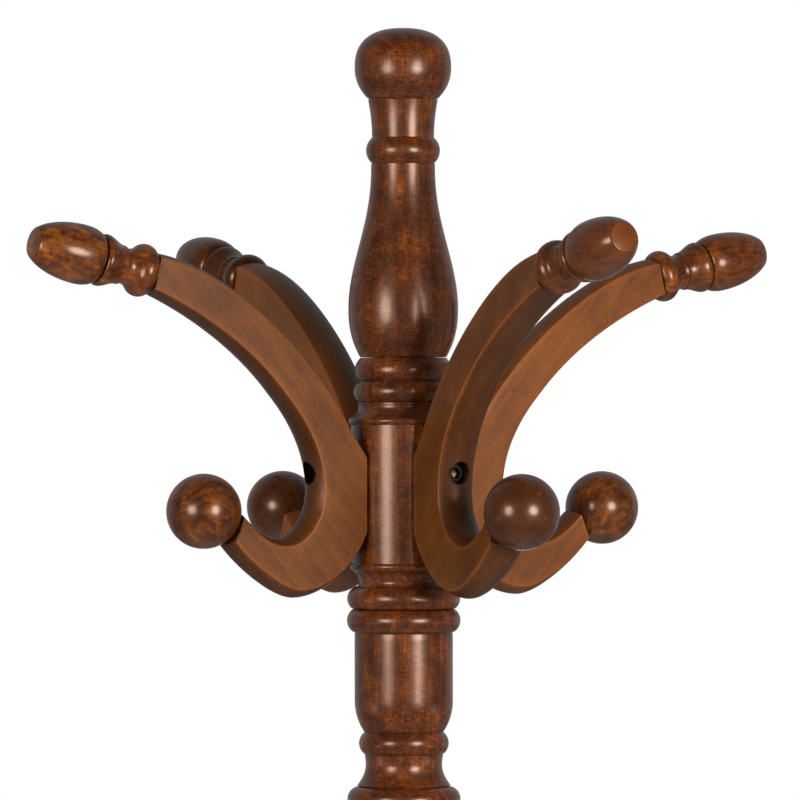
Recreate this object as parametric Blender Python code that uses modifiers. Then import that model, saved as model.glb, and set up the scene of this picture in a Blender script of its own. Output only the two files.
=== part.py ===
"""Standing coat rack: a turned post in screwed sections, four bolted double-hook arms and four bolted legs.

Metres, +Z up. The origin is on the floor on the post's axis. The legs point along -Y, +X, +Y and -X, and the
arms stand over them, two of them turned a little.
"""

import math

import bmesh
import bpy
from mathutils import Matrix, Vector

# Overall sizes
RACK_HEIGHT = 1.83
ARM_COUNT = 4
FIRST_ARM_ANGLE = -90.0  # degrees from +X
ARM_TURNS = (0.0, -3.0, 3.0, 0.0)  # degrees that each arm stands off its right angle
NO_TURNS = (0.0, 0.0, 0.0, 0.0)
GAP = 0.0003  # between pieces that touch

# Finial, from the top down
KNOB_RADIUS = 0.02325
KNOB_RISE = 0.0193
KNOB_DROP = 0.0142
NECK_TOP_RADIUS = 0.0168
NECK_RADIUS = 0.0149
NECK_LENGTH = 0.0197
NECK_BEAD_RADIUS = 0.0177
NECK_BEAD_HEIGHT = 0.0118
BOTTLE_TOP_RADIUS = 0.01535
BOTTLE_RADIUS = 0.02635
BOTTLE_SWELL = 0.0699
BOTTLE_FOOT = 0.0233
KNOB_TOP_POWER = 0.8  # under 1, the knob's top is squarer than a ball's
KNOB_END_SHARE = 1.05  # the knob's end against the top of the neck
NECK_HOLLOW = 0.0006  # how far the neck curves in
BOTTLE_SKEW = 1.13
BOTTLE_FOOT_POWER = 2.35

# Shared by all the sections of the post
JOINT_RADIUS = 0.0209  # where a plain end meets the next section
HUB_RADIUS = 0.0252  # the cylinders that carry arms and legs
GROOVE_RADIUS = 0.0250  # the groove in the middle of a double ring
FACE_RADIUS = GROOVE_RADIUS - 0.0005  # the end faces that meet in that groove
EASED_EDGE = 0.0003  # the small chamfer of an end face
FINE_STEP = 0.0006  # the thin flat between two shapes
RING_BULGE = 0.0036  # how far the upper half of a double ring stands out of its chord
LOWER_RING_BULGE = 0.0032  # the lower half's
RING_HEIGHT = 0.0109  # height of each half of a double ring
COVE_RADIUS = 0.0214  # the waist of the coves beside rings and lips
RING_START_RADIUS = COVE_RADIUS + 0.0007
LIP_BULGE = 0.0015
LIP_HEIGHT = 0.0042
COVE_BULGE = 0.0008  # how far the cove beside a lip curves in
COVE_END_RADIUS = HUB_RADIUS - 0.0006
TAPER_POWER = 2.2  # how suddenly a column draws in beside a ring or bead

# Hook hub
TOP_RING_HEIGHT = 0.0103
TOP_RING_BULGE = 0.0024
COLLAR_HEIGHT = 0.0066
HOOK_CYLINDER = 0.0662
LOWER_COVE = 0.0068
COLLAR_HOLLOW = 0.0006
COLLAR_END_RADIUS = HUB_RADIUS - 0.0010
HOOK_COVE_BULGE = 0.0012

# Upper post
URN_RADIUS = 0.0236
URN_STRAIGHT = 0.0322
URN_FOOT = 0.0154
URN_FOOT_RADIUS = 0.0190
POST_BEAD_BULGE = 0.0026
POST_BEAD_HEIGHT = 0.0106
POST_NECK_RADIUS = 0.0183
POST_NECK = 0.0149
SLIM_RADIUS = 0.0172  # the slender ends of the long columns
COLUMN_RADIUS = 0.0245  # their widest
COLUMN_SHOULDER = 0.040
CUP_RADIUS = URN_RADIUS - 0.0012  # where the neck opens out to the double ring
CUP_POWER = 1.9
SHOULDER_SKEW = 0.8  # skews of the columns' swells: under 1 they change early, over 1 late
UPPER_COLUMN_SKEW = 1.25
LOWER_SHOULDER_SKEW = 0.7
LOWER_COLUMN_SKEW = 0.85
LOWER_END_SKEW = 1.3
MID_JOINT_HEIGHT = 0.905

# Leg hub and bottom drop
LEG_HUB_TOP = 0.360
LEG_HUB_BOTTOM = 0.190
DROP_LENGTH = 0.062
DROP_RADIUS = 0.0190
DROP_TENON_RADIUS = 0.008
DROP_TENON_LENGTH = 0.020
DROP_RING_BULGE = 0.0028
DROP_RING_RADIUS = COVE_RADIUS - 0.0010
DROP_RING_END_RADIUS = COVE_RADIUS - 0.0020
DROP_NECK_HOLLOW = 0.0020
DROP_NECK_LENGTH = 0.0093
DROP_NECK_SHARE = 0.62  # the neck and the bulb's upper edge against the bulb's radius
DROP_EDGE_SHARE = 0.72
DROP_WIDEST = 0.38  # how far down the bulb it is widest
DROP_END_POWER = 0.9  # under 1, the bulb's end is blunter than an ellipse

# Hook arms: u is the distance from the post's axis, v the height above the bolt
ARM_THICKNESS = 0.019
ARM_EDGE = 0.0042  # rounding of the long edges
ARM_BOLT_BELOW_HUB_TOP = 0.0550
ARM_SEAT_ABOVE = 0.0070  # the flat back, above and below the bolt
ARM_SEAT_BELOW = 0.0276
WAIST_DEPTH = 0.0273  # from the back to the front of the arm, just below the bolt
WAIST_BELOW = 0.0078
TIP_REACH = 0.1380
TIP_RISE = 0.0945
TIP_TILT = 12.5  # degrees
ARM_TIP_DEPTH = 0.0190
BALL_END_REACH = 0.0945
BALL_END_DROP = 0.0262
BALL_TILT = 30.5  # degrees
BALL_END_DEPTH = 0.0166
CROOK_FLOOR_REACH = 0.0685
CROOK_FLOOR_DROP = 0.0304
CROOK_DEPTH = 0.0288
CROOK_LOWEST_SHIFT = 0.007  # from the crook's floor back to the arm's lowest point

# Handles of the arm's curves: a share of each curve's reach, some with a direction in degrees
UNDER_TIP_HANDLE = 0.43
UNDER_TIP_DIRECTION = 22
UNDER_WAIST_HANDLE = 0.30
CROOK_WAIST_HANDLE = 0.48
CROOK_FLOOR_HANDLE = 0.36
LIFT_FLOOR_HANDLE = 0.38
LIFT_BALL_HANDLE = 0.36
LIFT_BALL_DIRECTION = 43
BELLY_BALL_HANDLE = 0.31
BELLY_BALL_DIRECTION = 52
BELLY_LOW_HANDLE = 0.21
HEEL_LOW_HANDLE = 0.36
HEEL_SEAT_HANDLE = 0.30
BACK_SEAT_HANDLE = 0.283
BACK_SEAT_DIRECTION = 71
BACK_TIP_HANDLE = 0.284
BACK_TIP_DIRECTION = 8

# Acorn tips and balls
ACORN_COLLAR_RADIUS = 0.0126
ACORN_COLLAR_EASE = 0.0020  # from the collar's crest in to its edges
ACORN_COLLAR_WIDTH = 0.0085
ACORN_NECK_RADIUS = 0.0084
ACORN_NECK_WIDTH = 0.0069
ACORN_BEAD_RADIUS = 0.0124
ACORN_BEAD_WIDTH = 0.0127
ACORN_BEAD_CREST = 0.0028  # from the groove beside the body back to the bead's crest
ACORN_GROOVE_RADIUS = 0.0106
ACORN_RADIUS = 0.01405
ACORN_LENGTH = 0.0335
ACORN_WIDEST = 0.27  # how far along the body it is widest
ACORN_END_RADIUS = 0.0070
ACORN_TENON_RADIUS = 0.0050
ACORN_TENON_LENGTH = 0.0140
BALL_RADIUS = 0.0178
BALL_FLAT_OFFSET = 0.0164  # from the centre of the ball to its flat
BALL_TENON_RADIUS = 0.0040
BALL_TENON_LENGTH = 0.0120

# Legs
LEG_THICKNESS = 0.022
LEG_EDGE = 0.0042
LEG_BOLT_HEIGHT = 0.282
LEG_HUB_HALF_DEPTH = 0.034
LEG_KNEE_HALF_DEPTH = 0.021
LEG_ANKLE_HALF_DEPTH = 0.0145
LEG_FOOT_HALF_DEPTH = 0.016
LEG_ROOT_HEIGHT = 0.270
LEG_FOOT_REACH = 0.236
LEG_FOOT_HEIGHT = 0.021
LEG_ROOT_HANDLE = Vector((0.070, -0.008))  # handles of the leg's middle line
LEG_FOOT_HANDLE = Vector((0.106, 0.0))
LEG_SHORTEST_EDGE = 0.002  # points nearer than this to the flat back are left out
SOLE_HEIGHT = 0.006
PAD_RADIUS = 0.010
PAD_INSET = 0.004  # from the end of the foot's path back to the middle of the pad
PAD_STEM_RADIUS = 0.003
PAD_STEM_LENGTH = 0.012
PAD_CHAMFER = 0.0012

# Fixings: socket head bolts into threaded inserts, dowels beside them, studs between the sections
BOLT_RADIUS = 0.0030
BOLT_HEAD_RADIUS = 0.0050
BOLT_HEAD_HEIGHT = 0.0060
BOLT_SOCKET_RADIUS = 0.0028
BOLT_SOCKET_DEPTH = 0.0032
BOLT_SEAT = 0.0165  # wood between the bolt's head and the back of the arm or leg
BOLT_BELOW_SURFACE = 0.0135  # how far the bolt reaches into the hub
BOLT_CHAMFER = 0.0005
ARM_BOLT_HOLE_REACH = 0.012  # how far the bolt hole's cutter stands out of the arm's waist
LEG_BOLT_HOLE_REACH = 0.090  # and how far the leg's goes out from its back
INSERT_RADIUS = 0.0045
INSERT_LENGTH = 0.0120
INSERT_SINK = 0.0015  # below the surface of the hub
DOWEL_RADIUS = 0.0040
DOWEL_HALF = 0.0120
DOWEL_BELOW_BOLT = 0.0200
STUD_RADIUS = 0.0040
STUD_HALF = 0.0220
STUD_INSERT_RADIUS = 0.0060
STUD_INSERT_LENGTH = 0.0160
STUD_CHAMFER = 0.0008

# Facets of the round pieces
POST_STEPS = 20
SMALL_STEPS = 12
FIXING_STEPS = 8

SLACK = GAP  # round each pin, in its hole
OVERRUN = 0.004  # how far a cutter stands out of what it cuts
WELD = 0.00001  # points of one mesh nearer than this become one
SHARP_ANGLE = 40  # degrees: edges that turn by more are left sharp


def clear_scene():
    for old in list(bpy.data.objects):
        bpy.data.objects.remove(old, do_unlink=True)


def new_collection(name):
    collection = bpy.data.collections.new(name)
    bpy.context.scene.collection.children.link(collection)
    return collection


def new_material(name, colour, roughness, metallic=0.0):
    material = bpy.data.materials.new(name)
    material.use_nodes = True
    shader = material.node_tree.nodes["Principled BSDF"]
    shader.inputs["Base Color"].default_value = (*colour, 1.0)
    shader.inputs["Roughness"].default_value = roughness
    shader.inputs["Metallic"].default_value = metallic
    return material


clear_scene()
parts = new_collection("coat_rack")
cutters = new_collection("cutters")
cutters.hide_render = True

post_wood = new_material("walnut_stained_post", (0.095, 0.030, 0.014), 0.25)
arm_wood = new_material("walnut_stained_arm", (0.170, 0.062, 0.024), 0.30)
knob_wood = new_material("walnut_stained_knob", (0.070, 0.024, 0.012), 0.22)
steel = new_material("black_oxide_steel", (0.035, 0.033, 0.031), 0.35, 1.0)
brass = new_material("threaded_insert_brass", (0.66, 0.48, 0.20), 0.35, 1.0)
beech = new_material("beech_dowel", (0.56, 0.40, 0.25), 0.60)
rubber = new_material("dark_rubber_pad", (0.03, 0.03, 0.03), 0.80)


# Profiles of turned pieces are lists of (radius, height), from the top of the piece down its outer side.


def arc(start, end, bulge, count):
    """Points after start along the circular arc to end; a positive bulge stands outward."""
    start = Vector(start)
    end = Vector(end)
    chord = (end - start).length
    along = (end - start) / chord
    outward = Vector((-along.y, along.x))
    radius = (chord * chord / 4 + bulge * bulge) / (2 * abs(bulge))
    side = math.copysign(1.0, bulge)
    centre = (start + end) / 2 + outward * (bulge - side * radius)
    half = math.asin(min(1.0, chord / 2 / radius))
    points = []
    for i in range(1, count + 1):
        turn = half * (2 * i / count - 1)
        across = outward * side * radius * math.cos(turn)
        points.append(tuple(centre + across + along * radius * math.sin(turn)))
    return points


def swell(start, end, skew, count):
    """Points after start along an S-shaped change of radius, level at both ends; skew 1 is an even S."""
    points = []
    for i in range(1, count + 1):
        t = i / count
        share = (1 - math.cos(math.pi * t**skew)) / 2
        points.append((start[0] + (end[0] - start[0]) * share, start[1] + (end[1] - start[1]) * t))
    return points


def taper(start, end, power, count):
    """Points after start whose radius leaves slowly and arrives steeply; power 1 is a cone."""
    points = []
    for i in range(1, count + 1):
        t = i / count
        points.append((start[0] + (end[0] - start[0]) * t**power, start[1] + (end[1] - start[1]) * t))
    return points


def stud_mouth_below(bottom, outer_radius):
    """The lower end of a section: its face and the blind bore that the stud is screwed into."""
    top_of_bore = bottom + STUD_HALF + SLACK
    bore = STUD_RADIUS + SLACK
    return [(outer_radius, bottom), (bore, bottom), (bore, top_of_bore), (0.0, top_of_bore)]


def stud_mouth_above(top, outer_radius):
    """The upper end of a section: a blind bore for the stud, wider at its mouth for the threaded insert."""
    bore = STUD_RADIUS + SLACK
    seat = STUD_INSERT_RADIUS + SLACK
    return [
        (0.0, top - STUD_HALF - SLACK),
        (bore, top - STUD_HALF - SLACK),
        (bore, top - STUD_INSERT_LENGTH - SLACK),
        (seat, top - STUD_INSERT_LENGTH - SLACK),
        (seat, top),
        (outer_radius, top),
    ]


def ring_above_joint(points, joint):
    """The upper half of a double ring, down to the groove at the joint."""
    points.append((RING_START_RADIUS, joint + RING_HEIGHT))
    points += arc(points[-1], (GROOVE_RADIUS, joint), RING_BULGE, 4)


def ring_below_joint(points, joint, end_radius):
    """The lower half of a double ring, from the groove at the joint down to end_radius."""
    points += arc((GROOVE_RADIUS, joint), (end_radius, joint - RING_HEIGHT), LOWER_RING_BULGE, 4)


def drop_to(points, fall, radius):
    """A straight cut down by fall to radius."""
    points.append((radius, points[-1][1] - fall))


def finial_profile(top, bottom):
    middle = top - KNOB_RISE
    points = [(0.0, top)]
    for i in range(1, 6):  # the knob's top is squarer than a ball, its underside is part of an ellipse
        turn = math.pi / 2 * (1 - i / 5)
        reach = KNOB_RADIUS * math.cos(turn) ** KNOB_TOP_POWER
        points.append((reach, middle + KNOB_RISE * math.sin(turn) ** KNOB_TOP_POWER))
    under_turn = math.acos(NECK_TOP_RADIUS * KNOB_END_SHARE / KNOB_RADIUS)
    for i in range(1, 4):
        turn = under_turn * i / 3
        drop = KNOB_DROP * math.sin(turn) / math.sin(under_turn)
        points.append((KNOB_RADIUS * math.cos(turn), middle - drop))
    neck_top = middle - KNOB_DROP - FINE_STEP
    points.append((NECK_TOP_RADIUS, neck_top))
    neck_end = middle - KNOB_DROP - NECK_LENGTH
    points += arc(points[-1], (NECK_RADIUS, neck_end), -NECK_HOLLOW, 2)
    bead_end = neck_end - NECK_BEAD_HEIGHT
    bead_bulge = NECK_BEAD_RADIUS - BOTTLE_TOP_RADIUS
    points += arc((NECK_RADIUS, neck_end), (BOTTLE_TOP_RADIUS, bead_end), bead_bulge, 4)
    points += swell((BOTTLE_TOP_RADIUS, bead_end), (BOTTLE_RADIUS, bottom + BOTTLE_FOOT), BOTTLE_SKEW, 7)
    points += taper(points[-1], (JOINT_RADIUS, bottom), BOTTLE_FOOT_POWER, 4)
    return points[:-1] + stud_mouth_below(bottom, JOINT_RADIUS)


def hook_hub_profile(top, bottom):
    points = stud_mouth_above(top, JOINT_RADIUS)
    points.append((COVE_RADIUS, top - FINE_STEP))
    for _ in range(2):
        start = points[-1]
        points += arc(start, (COVE_RADIUS, start[1] - TOP_RING_HEIGHT), TOP_RING_BULGE, 4)
    collar_end = points[-1][1] - COLLAR_HEIGHT
    points += arc(points[-1], (COLLAR_END_RADIUS, collar_end), -COLLAR_HOLLOW, 2)
    points += arc(points[-1], (HUB_RADIUS, collar_end - LIP_HEIGHT), LIP_BULGE, 3)
    drop_to(points, HOOK_CYLINDER, HUB_RADIUS)
    points += arc(points[-1], (HUB_RADIUS, points[-1][1] - LIP_HEIGHT), LIP_BULGE / 2, 2)
    points += arc(points[-1], (COVE_RADIUS, bottom + RING_HEIGHT + FINE_STEP), -HOOK_COVE_BULGE, 2)
    ring_above_joint(points, bottom)
    return points + stud_mouth_below(bottom, FACE_RADIUS)


def upper_post_profile(top, bottom):
    points = stud_mouth_above(top, FACE_RADIUS)
    points.append((GROOVE_RADIUS, top - EASED_EDGE))
    ring_below_joint(points, top - EASED_EDGE, URN_RADIUS)
    drop_to(points, URN_STRAIGHT, URN_RADIUS)
    points += taper(points[-1], (URN_FOOT_RADIUS, points[-1][1] - URN_FOOT), TAPER_POWER, 4)
    points += arc(points[-1], (URN_FOOT_RADIUS, points[-1][1] - POST_BEAD_HEIGHT), POST_BEAD_BULGE, 4)
    neck = points[-1][1] - POST_NECK / 3
    points.append((POST_NECK_RADIUS, neck))
    points += taper(points[-1], (CUP_RADIUS, neck - POST_NECK * 2 / 3), CUP_POWER, 3)
    ring_joint = points[-1][1] - FINE_STEP - RING_HEIGHT
    ring_above_joint(points, ring_joint)
    ring_below_joint(points, ring_joint, URN_RADIUS)
    slim = points[-1][1] - COLUMN_SHOULDER
    points += swell(points[-1], (SLIM_RADIUS, slim), SHOULDER_SKEW, 4)
    widest = bottom + RING_HEIGHT + COLUMN_SHOULDER * 2
    points += swell(points[-1], (COLUMN_RADIUS, widest), UPPER_COLUMN_SKEW, 6)
    points += taper(points[-1], (COVE_RADIUS, bottom + RING_HEIGHT + FINE_STEP), TAPER_POWER, 4)
    ring_above_joint(points, bottom)
    return points + stud_mouth_below(bottom, FACE_RADIUS)


def lower_post_profile(top, bottom):
    points = stud_mouth_above(top, FACE_RADIUS)
    points.append((GROOVE_RADIUS, top - EASED_EDGE))
    ring_below_joint(points, top - EASED_EDGE, COVE_RADIUS)
    widest = points[-1][1] - COLUMN_SHOULDER * 2
    points += swell(points[-1], (COLUMN_RADIUS, widest), LOWER_SHOULDER_SKEW, 4)
    slim = bottom + RING_HEIGHT + COLUMN_SHOULDER
    points += swell(points[-1], (SLIM_RADIUS, slim), LOWER_COLUMN_SKEW, 6)
    points += swell(points[-1], (COVE_RADIUS, bottom + RING_HEIGHT + FINE_STEP), LOWER_END_SKEW, 4)
    ring_above_joint(points, bottom)
    return points + stud_mouth_below(bottom, FACE_RADIUS)


def leg_hub_profile(top, bottom):
    points = stud_mouth_above(top, FACE_RADIUS)
    points.append((GROOVE_RADIUS, top - EASED_EDGE))
    ring_below_joint(points, top - EASED_EDGE, COVE_RADIUS)
    points += arc(points[-1], (COVE_END_RADIUS, points[-1][1] - LOWER_COVE), -COVE_BULGE, 2)
    points += arc(points[-1], (HUB_RADIUS, points[-1][1] - LIP_HEIGHT), LIP_BULGE, 3)
    drop_end = bottom + LOWER_COVE + LIP_HEIGHT
    points.append((HUB_RADIUS, drop_end))
    points += arc(points[-1], (COVE_END_RADIUS, drop_end - LIP_HEIGHT), LIP_BULGE, 3)
    points += arc(points[-1], (COVE_RADIUS, bottom), -COVE_BULGE, 2)
    socket = DROP_TENON_RADIUS + SLACK
    socket_end = bottom + DROP_TENON_LENGTH + SLACK
    return points + [(socket, bottom), (socket, socket_end), (0.0, socket_end)]


def bottom_drop_profile(top):
    points = [(0.0, top + DROP_TENON_LENGTH), (DROP_TENON_RADIUS, top + DROP_TENON_LENGTH)]
    points += [(DROP_TENON_RADIUS, top), (DROP_RING_RADIUS, top)]
    points += arc(points[-1], (DROP_RING_END_RADIUS, top - RING_HEIGHT), DROP_RING_BULGE, 4)
    neck = (DROP_RADIUS * DROP_NECK_SHARE, points[-1][1] - DROP_NECK_LENGTH)
    points += arc(points[-1], neck, -DROP_NECK_HOLLOW, 3)
    bulb_top = neck[1] - FINE_STEP
    points.append((DROP_RADIUS * DROP_EDGE_SHARE, bulb_top))
    end = top - DROP_LENGTH
    widest = neck[1] - (neck[1] - end) * DROP_WIDEST
    for i in range(1, 4):
        turn = math.pi / 2 * i / 3
        radius = DROP_RADIUS * (DROP_EDGE_SHARE + (1 - DROP_EDGE_SHARE) * math.sin(turn))
        points.append((radius, widest + (bulb_top - widest) * math.cos(turn)))
    for i in range(1, 6):
        turn = math.pi / 2 * i / 5
        radius = DROP_RADIUS * math.cos(turn) ** DROP_END_POWER
        points.append((radius, widest - (widest - end) * math.sin(turn)))
    points[-1] = (0.0, end)
    return points


def profile_object(name, points, steps, collection):
    """A profile turned about Z by a Screw modifier."""
    mesh = bpy.data.meshes.new(name)
    vertices = [(radius, 0.0, height) for radius, height in points]
    edges = [(i, i + 1) for i in range(len(points) - 1)]
    mesh.from_pydata(vertices, edges, [])
    obj = bpy.data.objects.new(name, mesh)
    collection.objects.link(obj)
    screw = obj.modifiers.new("turned", "SCREW")
    screw.axis = "Z"
    screw.angle = 2 * math.pi
    screw.steps = steps
    screw.render_steps = steps
    screw.use_merge_vertices = True
    screw.merge_threshold = 0.00005
    screw.use_smooth_shade = True
    return obj


def baked_mesh(obj, name):
    """The mesh of obj with its modifiers applied; obj is removed."""
    bpy.context.view_layer.update()
    graph = bpy.context.evaluated_depsgraph_get()
    mesh = bpy.data.meshes.new_from_object(obj.evaluated_get(graph), depsgraph=graph)
    mesh.name = name
    bpy.data.objects.remove(obj, do_unlink=True)
    return mesh


def turned_mesh(name, points, steps):
    return baked_mesh(profile_object(name, points, steps, parts), name)


def sharpen(mesh):
    mesh.shade_smooth()
    mesh.set_sharp_from_angle(angle=math.radians(SHARP_ANGLE))


def place(name, mesh, material, matrix=None):
    """A part that stands where matrix puts it."""
    if not mesh.materials:
        mesh.materials.append(material)
    obj = bpy.data.objects.new(name, mesh)
    parts.objects.link(obj)
    if matrix is not None:
        obj.matrix_world = matrix
    return obj


def turned_section(name, points, material):
    obj = profile_object(name, points, POST_STEPS, parts)
    obj.data.materials.append(material)
    return obj


def rod_mesh(name, radius, low, high, steps):
    """A plain closed cylinder along X from low to high."""
    mesh = bpy.data.meshes.new(name)
    form = bmesh.new()
    bmesh.ops.create_cone(
        form, cap_ends=True, segments=steps, radius1=radius, radius2=radius, depth=high - low
    )
    lay_down = Matrix.Translation(((low + high) / 2, 0, 0)) @ Matrix.Rotation(math.pi / 2, 4, "Y")
    bmesh.ops.transform(form, matrix=lay_down, verts=form.verts)
    form.to_mesh(mesh)
    form.free()
    return mesh


def stepped_mesh(name, points, steps):
    """A turned solid whose axis lies along X: points are (radius, distance along X), far end first."""
    mesh = turned_mesh(name, points, steps)
    mesh.transform(Matrix.Rotation(math.pi / 2, 4, "Y"))
    return mesh


def joined(name, meshes):
    """One mesh that holds all of meshes, which don't touch each other."""
    form = bmesh.new()
    for mesh in meshes:
        form.from_mesh(mesh)
    whole = bpy.data.meshes.new(name)
    form.to_mesh(whole)
    form.free()
    return whole


def cutter_object(name, mesh, matrix=None):
    obj = bpy.data.objects.new(name, mesh)
    cutters.objects.link(obj)
    obj.hide_render = True
    obj.display_type = "WIRE"
    if matrix is not None:
        obj.matrix_world = matrix
    return obj


def cut(obj, cutter):
    hole = obj.modifiers.new(cutter.name, "BOOLEAN")
    hole.operation = "DIFFERENCE"
    hole.solver = "EXACT"
    hole.object = cutter


def bezier(start, leave, arrive, end, count):
    """Points after start on the cubic curve with handles leave and arrive."""
    start, leave, arrive, end = (Vector(p) for p in (start, leave, arrive, end))
    points = []
    for i in range(1, count + 1):
        t = i / count
        s = 1 - t
        points.append(s**3 * start + 3 * s * s * t * leave + 3 * s * t * t * arrive + t**3 * end)
    return points


def direction(degrees):
    return Vector((math.cos(math.radians(degrees)), math.sin(math.radians(degrees))))


def seat_distance():
    """From the post's axis to the flat back of an arm or a leg."""
    return HUB_RADIUS + GAP


def arm_outline():
    """The side view of an arm as (u, v) points, anticlockwise."""
    back = seat_distance()
    tip = Vector((TIP_REACH, TIP_RISE))
    tip_up = Vector((-direction(TIP_TILT).y, direction(TIP_TILT).x))
    tip_top = tip + tip_up * ARM_TIP_DEPTH / 2
    tip_under = tip - tip_up * ARM_TIP_DEPTH / 2
    ball_end = Vector((BALL_END_REACH, -BALL_END_DROP))
    ball_up = Vector((-direction(BALL_TILT).y, direction(BALL_TILT).x))
    ball_inner = ball_end + ball_up * BALL_END_DEPTH / 2
    ball_outer = ball_end - ball_up * BALL_END_DEPTH / 2
    waist = Vector((back + WAIST_DEPTH, -WAIST_BELOW))
    floor = Vector((CROOK_FLOOR_REACH, -CROOK_FLOOR_DROP))
    lowest = floor - Vector((CROOK_LOWEST_SHIFT, CROOK_DEPTH))
    seat_top = Vector((back, ARM_SEAT_ABOVE))
    seat_bottom = Vector((back, -ARM_SEAT_BELOW))

    under = (tip_under - waist).length
    leave_tip = tip_under - direction(UNDER_TIP_DIRECTION) * under * UNDER_TIP_HANDLE
    reach_waist = waist + Vector((0, under * UNDER_WAIST_HANDLE))
    inner = [tip_under]
    inner += bezier(tip_under, leave_tip, reach_waist, waist, 9)
    fall = waist.y - floor.y
    leave_waist = waist - Vector((0, fall * CROOK_WAIST_HANDLE))
    inner += bezier(waist, leave_waist, floor - Vector((fall * CROOK_FLOOR_HANDLE, 0)), floor, 5)
    lift = (ball_inner - floor).length
    leave_floor = floor + Vector((lift * LIFT_FLOOR_HANDLE, 0))
    reach_ball = ball_inner - direction(LIFT_BALL_DIRECTION) * lift * LIFT_BALL_HANDLE
    inner += bezier(floor, leave_floor, reach_ball, ball_inner, 4)

    points = [ball_outer]
    belly = (ball_outer - lowest).length
    leave_ball = ball_outer - direction(BELLY_BALL_DIRECTION) * belly * BELLY_BALL_HANDLE
    points += bezier(ball_outer, leave_ball, lowest + Vector((belly * BELLY_LOW_HANDLE, 0)), lowest, 6)
    heel = (seat_bottom - lowest).length
    leave_low = lowest - Vector((heel * HEEL_LOW_HANDLE, 0))
    reach_seat = seat_bottom - Vector((0, heel * HEEL_SEAT_HANDLE))
    points += bezier(lowest, leave_low, reach_seat, seat_bottom, 6)
    points.append(seat_top)
    spine = (tip_top - seat_top).length
    leave_seat = seat_top + direction(BACK_SEAT_DIRECTION) * spine * BACK_SEAT_HANDLE
    reach_tip = tip_top - direction(BACK_TIP_DIRECTION) * spine * BACK_TIP_HANDLE
    points += bezier(seat_top, leave_seat, reach_tip, tip_top, 9)
    outline = inner + points
    return outline[::-1]


def leg_path(t):
    """The middle line of a leg's side view and its direction there."""
    start = Vector((seat_distance(), LEG_ROOT_HEIGHT))
    end = Vector((LEG_FOOT_REACH, LEG_FOOT_HEIGHT))
    leave = start + LEG_ROOT_HANDLE
    arrive = end - LEG_FOOT_HANDLE
    s = 1 - t
    point = s**3 * start + 3 * s * s * t * leave + 3 * s * t * t * arrive + t**3 * end
    along = s * s * (leave - start) + 2 * s * t * (arrive - leave) + t * t * (end - arrive)
    return point, along.normalized()


def leg_half_depth(t):
    """Half of a leg's depth: heavy at the hub, slim at the ankle, a little wider at the foot."""
    stops = (LEG_HUB_HALF_DEPTH, LEG_KNEE_HALF_DEPTH, LEG_ANKLE_HALF_DEPTH, LEG_FOOT_HALF_DEPTH)
    s = 1 - t
    return s**3 * stops[0] + 3 * s * s * t * stops[1] + 3 * s * t * t * stops[2] + t**3 * stops[3]


def leg_outline():
    """The side view of a leg as (u, height) points, anticlockwise: flat back, flat sole, round toe."""
    count = 14
    upper = []
    lower = []
    for i in range(count + 1):
        middle, along = leg_path(i / count)
        across = Vector((-along.y, along.x)) * leg_half_depth(i / count)
        upper.append(middle + across)
        lower.append(middle - across)
    toe_centre = leg_path(1.0)[0]
    toe_start = math.pi / 2
    toe_end = -math.asin((toe_centre.y - SOLE_HEIGHT) / LEG_FOOT_HALF_DEPTH)
    toe = []
    for i in range(1, 8):
        turn = toe_start + (toe_end - toe_start) * i / 7
        toe.append(toe_centre + Vector((math.cos(turn), math.sin(turn))) * LEG_FOOT_HALF_DEPTH)
    back = seat_distance()
    sole_end = min(p.x for p in lower if p.y <= SOLE_HEIGHT)
    nearest = back + LEG_SHORTEST_EDGE
    around_leg = [p for p in upper if p.x > nearest] + toe
    around_leg += [Vector((sole_end, SOLE_HEIGHT))]
    around_leg += [p for p in lower[::-1] if p.x > nearest and p.y > SOLE_HEIGHT + EASED_EDGE]
    root_top = Vector((back, upper[0].y))
    root_bottom = Vector((back, lower[0].y))
    return ([root_top] + around_leg + [root_bottom])[::-1]


def flat_piece(name, outline, thickness, edge):
    """The outline extruded to both sides of the plane through the post's axis, with rounded edges."""
    curve = bpy.data.curves.new(name, "CURVE")
    curve.dimensions = "2D"
    curve.fill_mode = "BOTH"
    curve.extrude = thickness / 2
    spline = curve.splines.new("POLY")
    spline.points.add(len(outline) - 1)
    for point, (u, v) in zip(spline.points, outline):
        point.co = (u, v, 0.0, 1.0)
    spline.use_cyclic_u = True
    drawn = bpy.data.objects.new(name, curve)
    parts.objects.link(drawn)
    mesh = baked_mesh(drawn, name)
    form = bmesh.new()
    form.from_mesh(mesh)
    bmesh.ops.remove_doubles(form, verts=form.verts, dist=WELD)
    bmesh.ops.transform(form, matrix=Matrix.Rotation(math.pi / 2, 4, "X"), verts=form.verts)
    bmesh.ops.recalc_face_normals(form, faces=form.faces)
    form.to_mesh(mesh)
    form.free()
    blank = bpy.data.objects.new(name, mesh)
    parts.objects.link(blank)
    rounding = blank.modifiers.new("rounded_edges", "BEVEL")
    rounding.width = edge
    rounding.segments = 2
    rounding.limit_method = "ANGLE"
    rounding.angle_limit = math.radians(50)
    rounding.use_clamp_overlap = True
    return blank


def bolt_hole_mesh(name, outer_reach):
    """Clearance for a bolt that comes in from outside: the shank's hole and the counterbore for its head."""
    seat = seat_distance() + BOLT_SEAT
    shank = BOLT_RADIUS + SLACK
    head = BOLT_HEAD_RADIUS + SLACK
    low = seat_distance() - OVERRUN
    points = [(0.0, outer_reach), (head, outer_reach), (head, seat), (shank, seat), (shank, low), (0.0, low)]
    return stepped_mesh(name, points, FIXING_STEPS)


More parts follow.
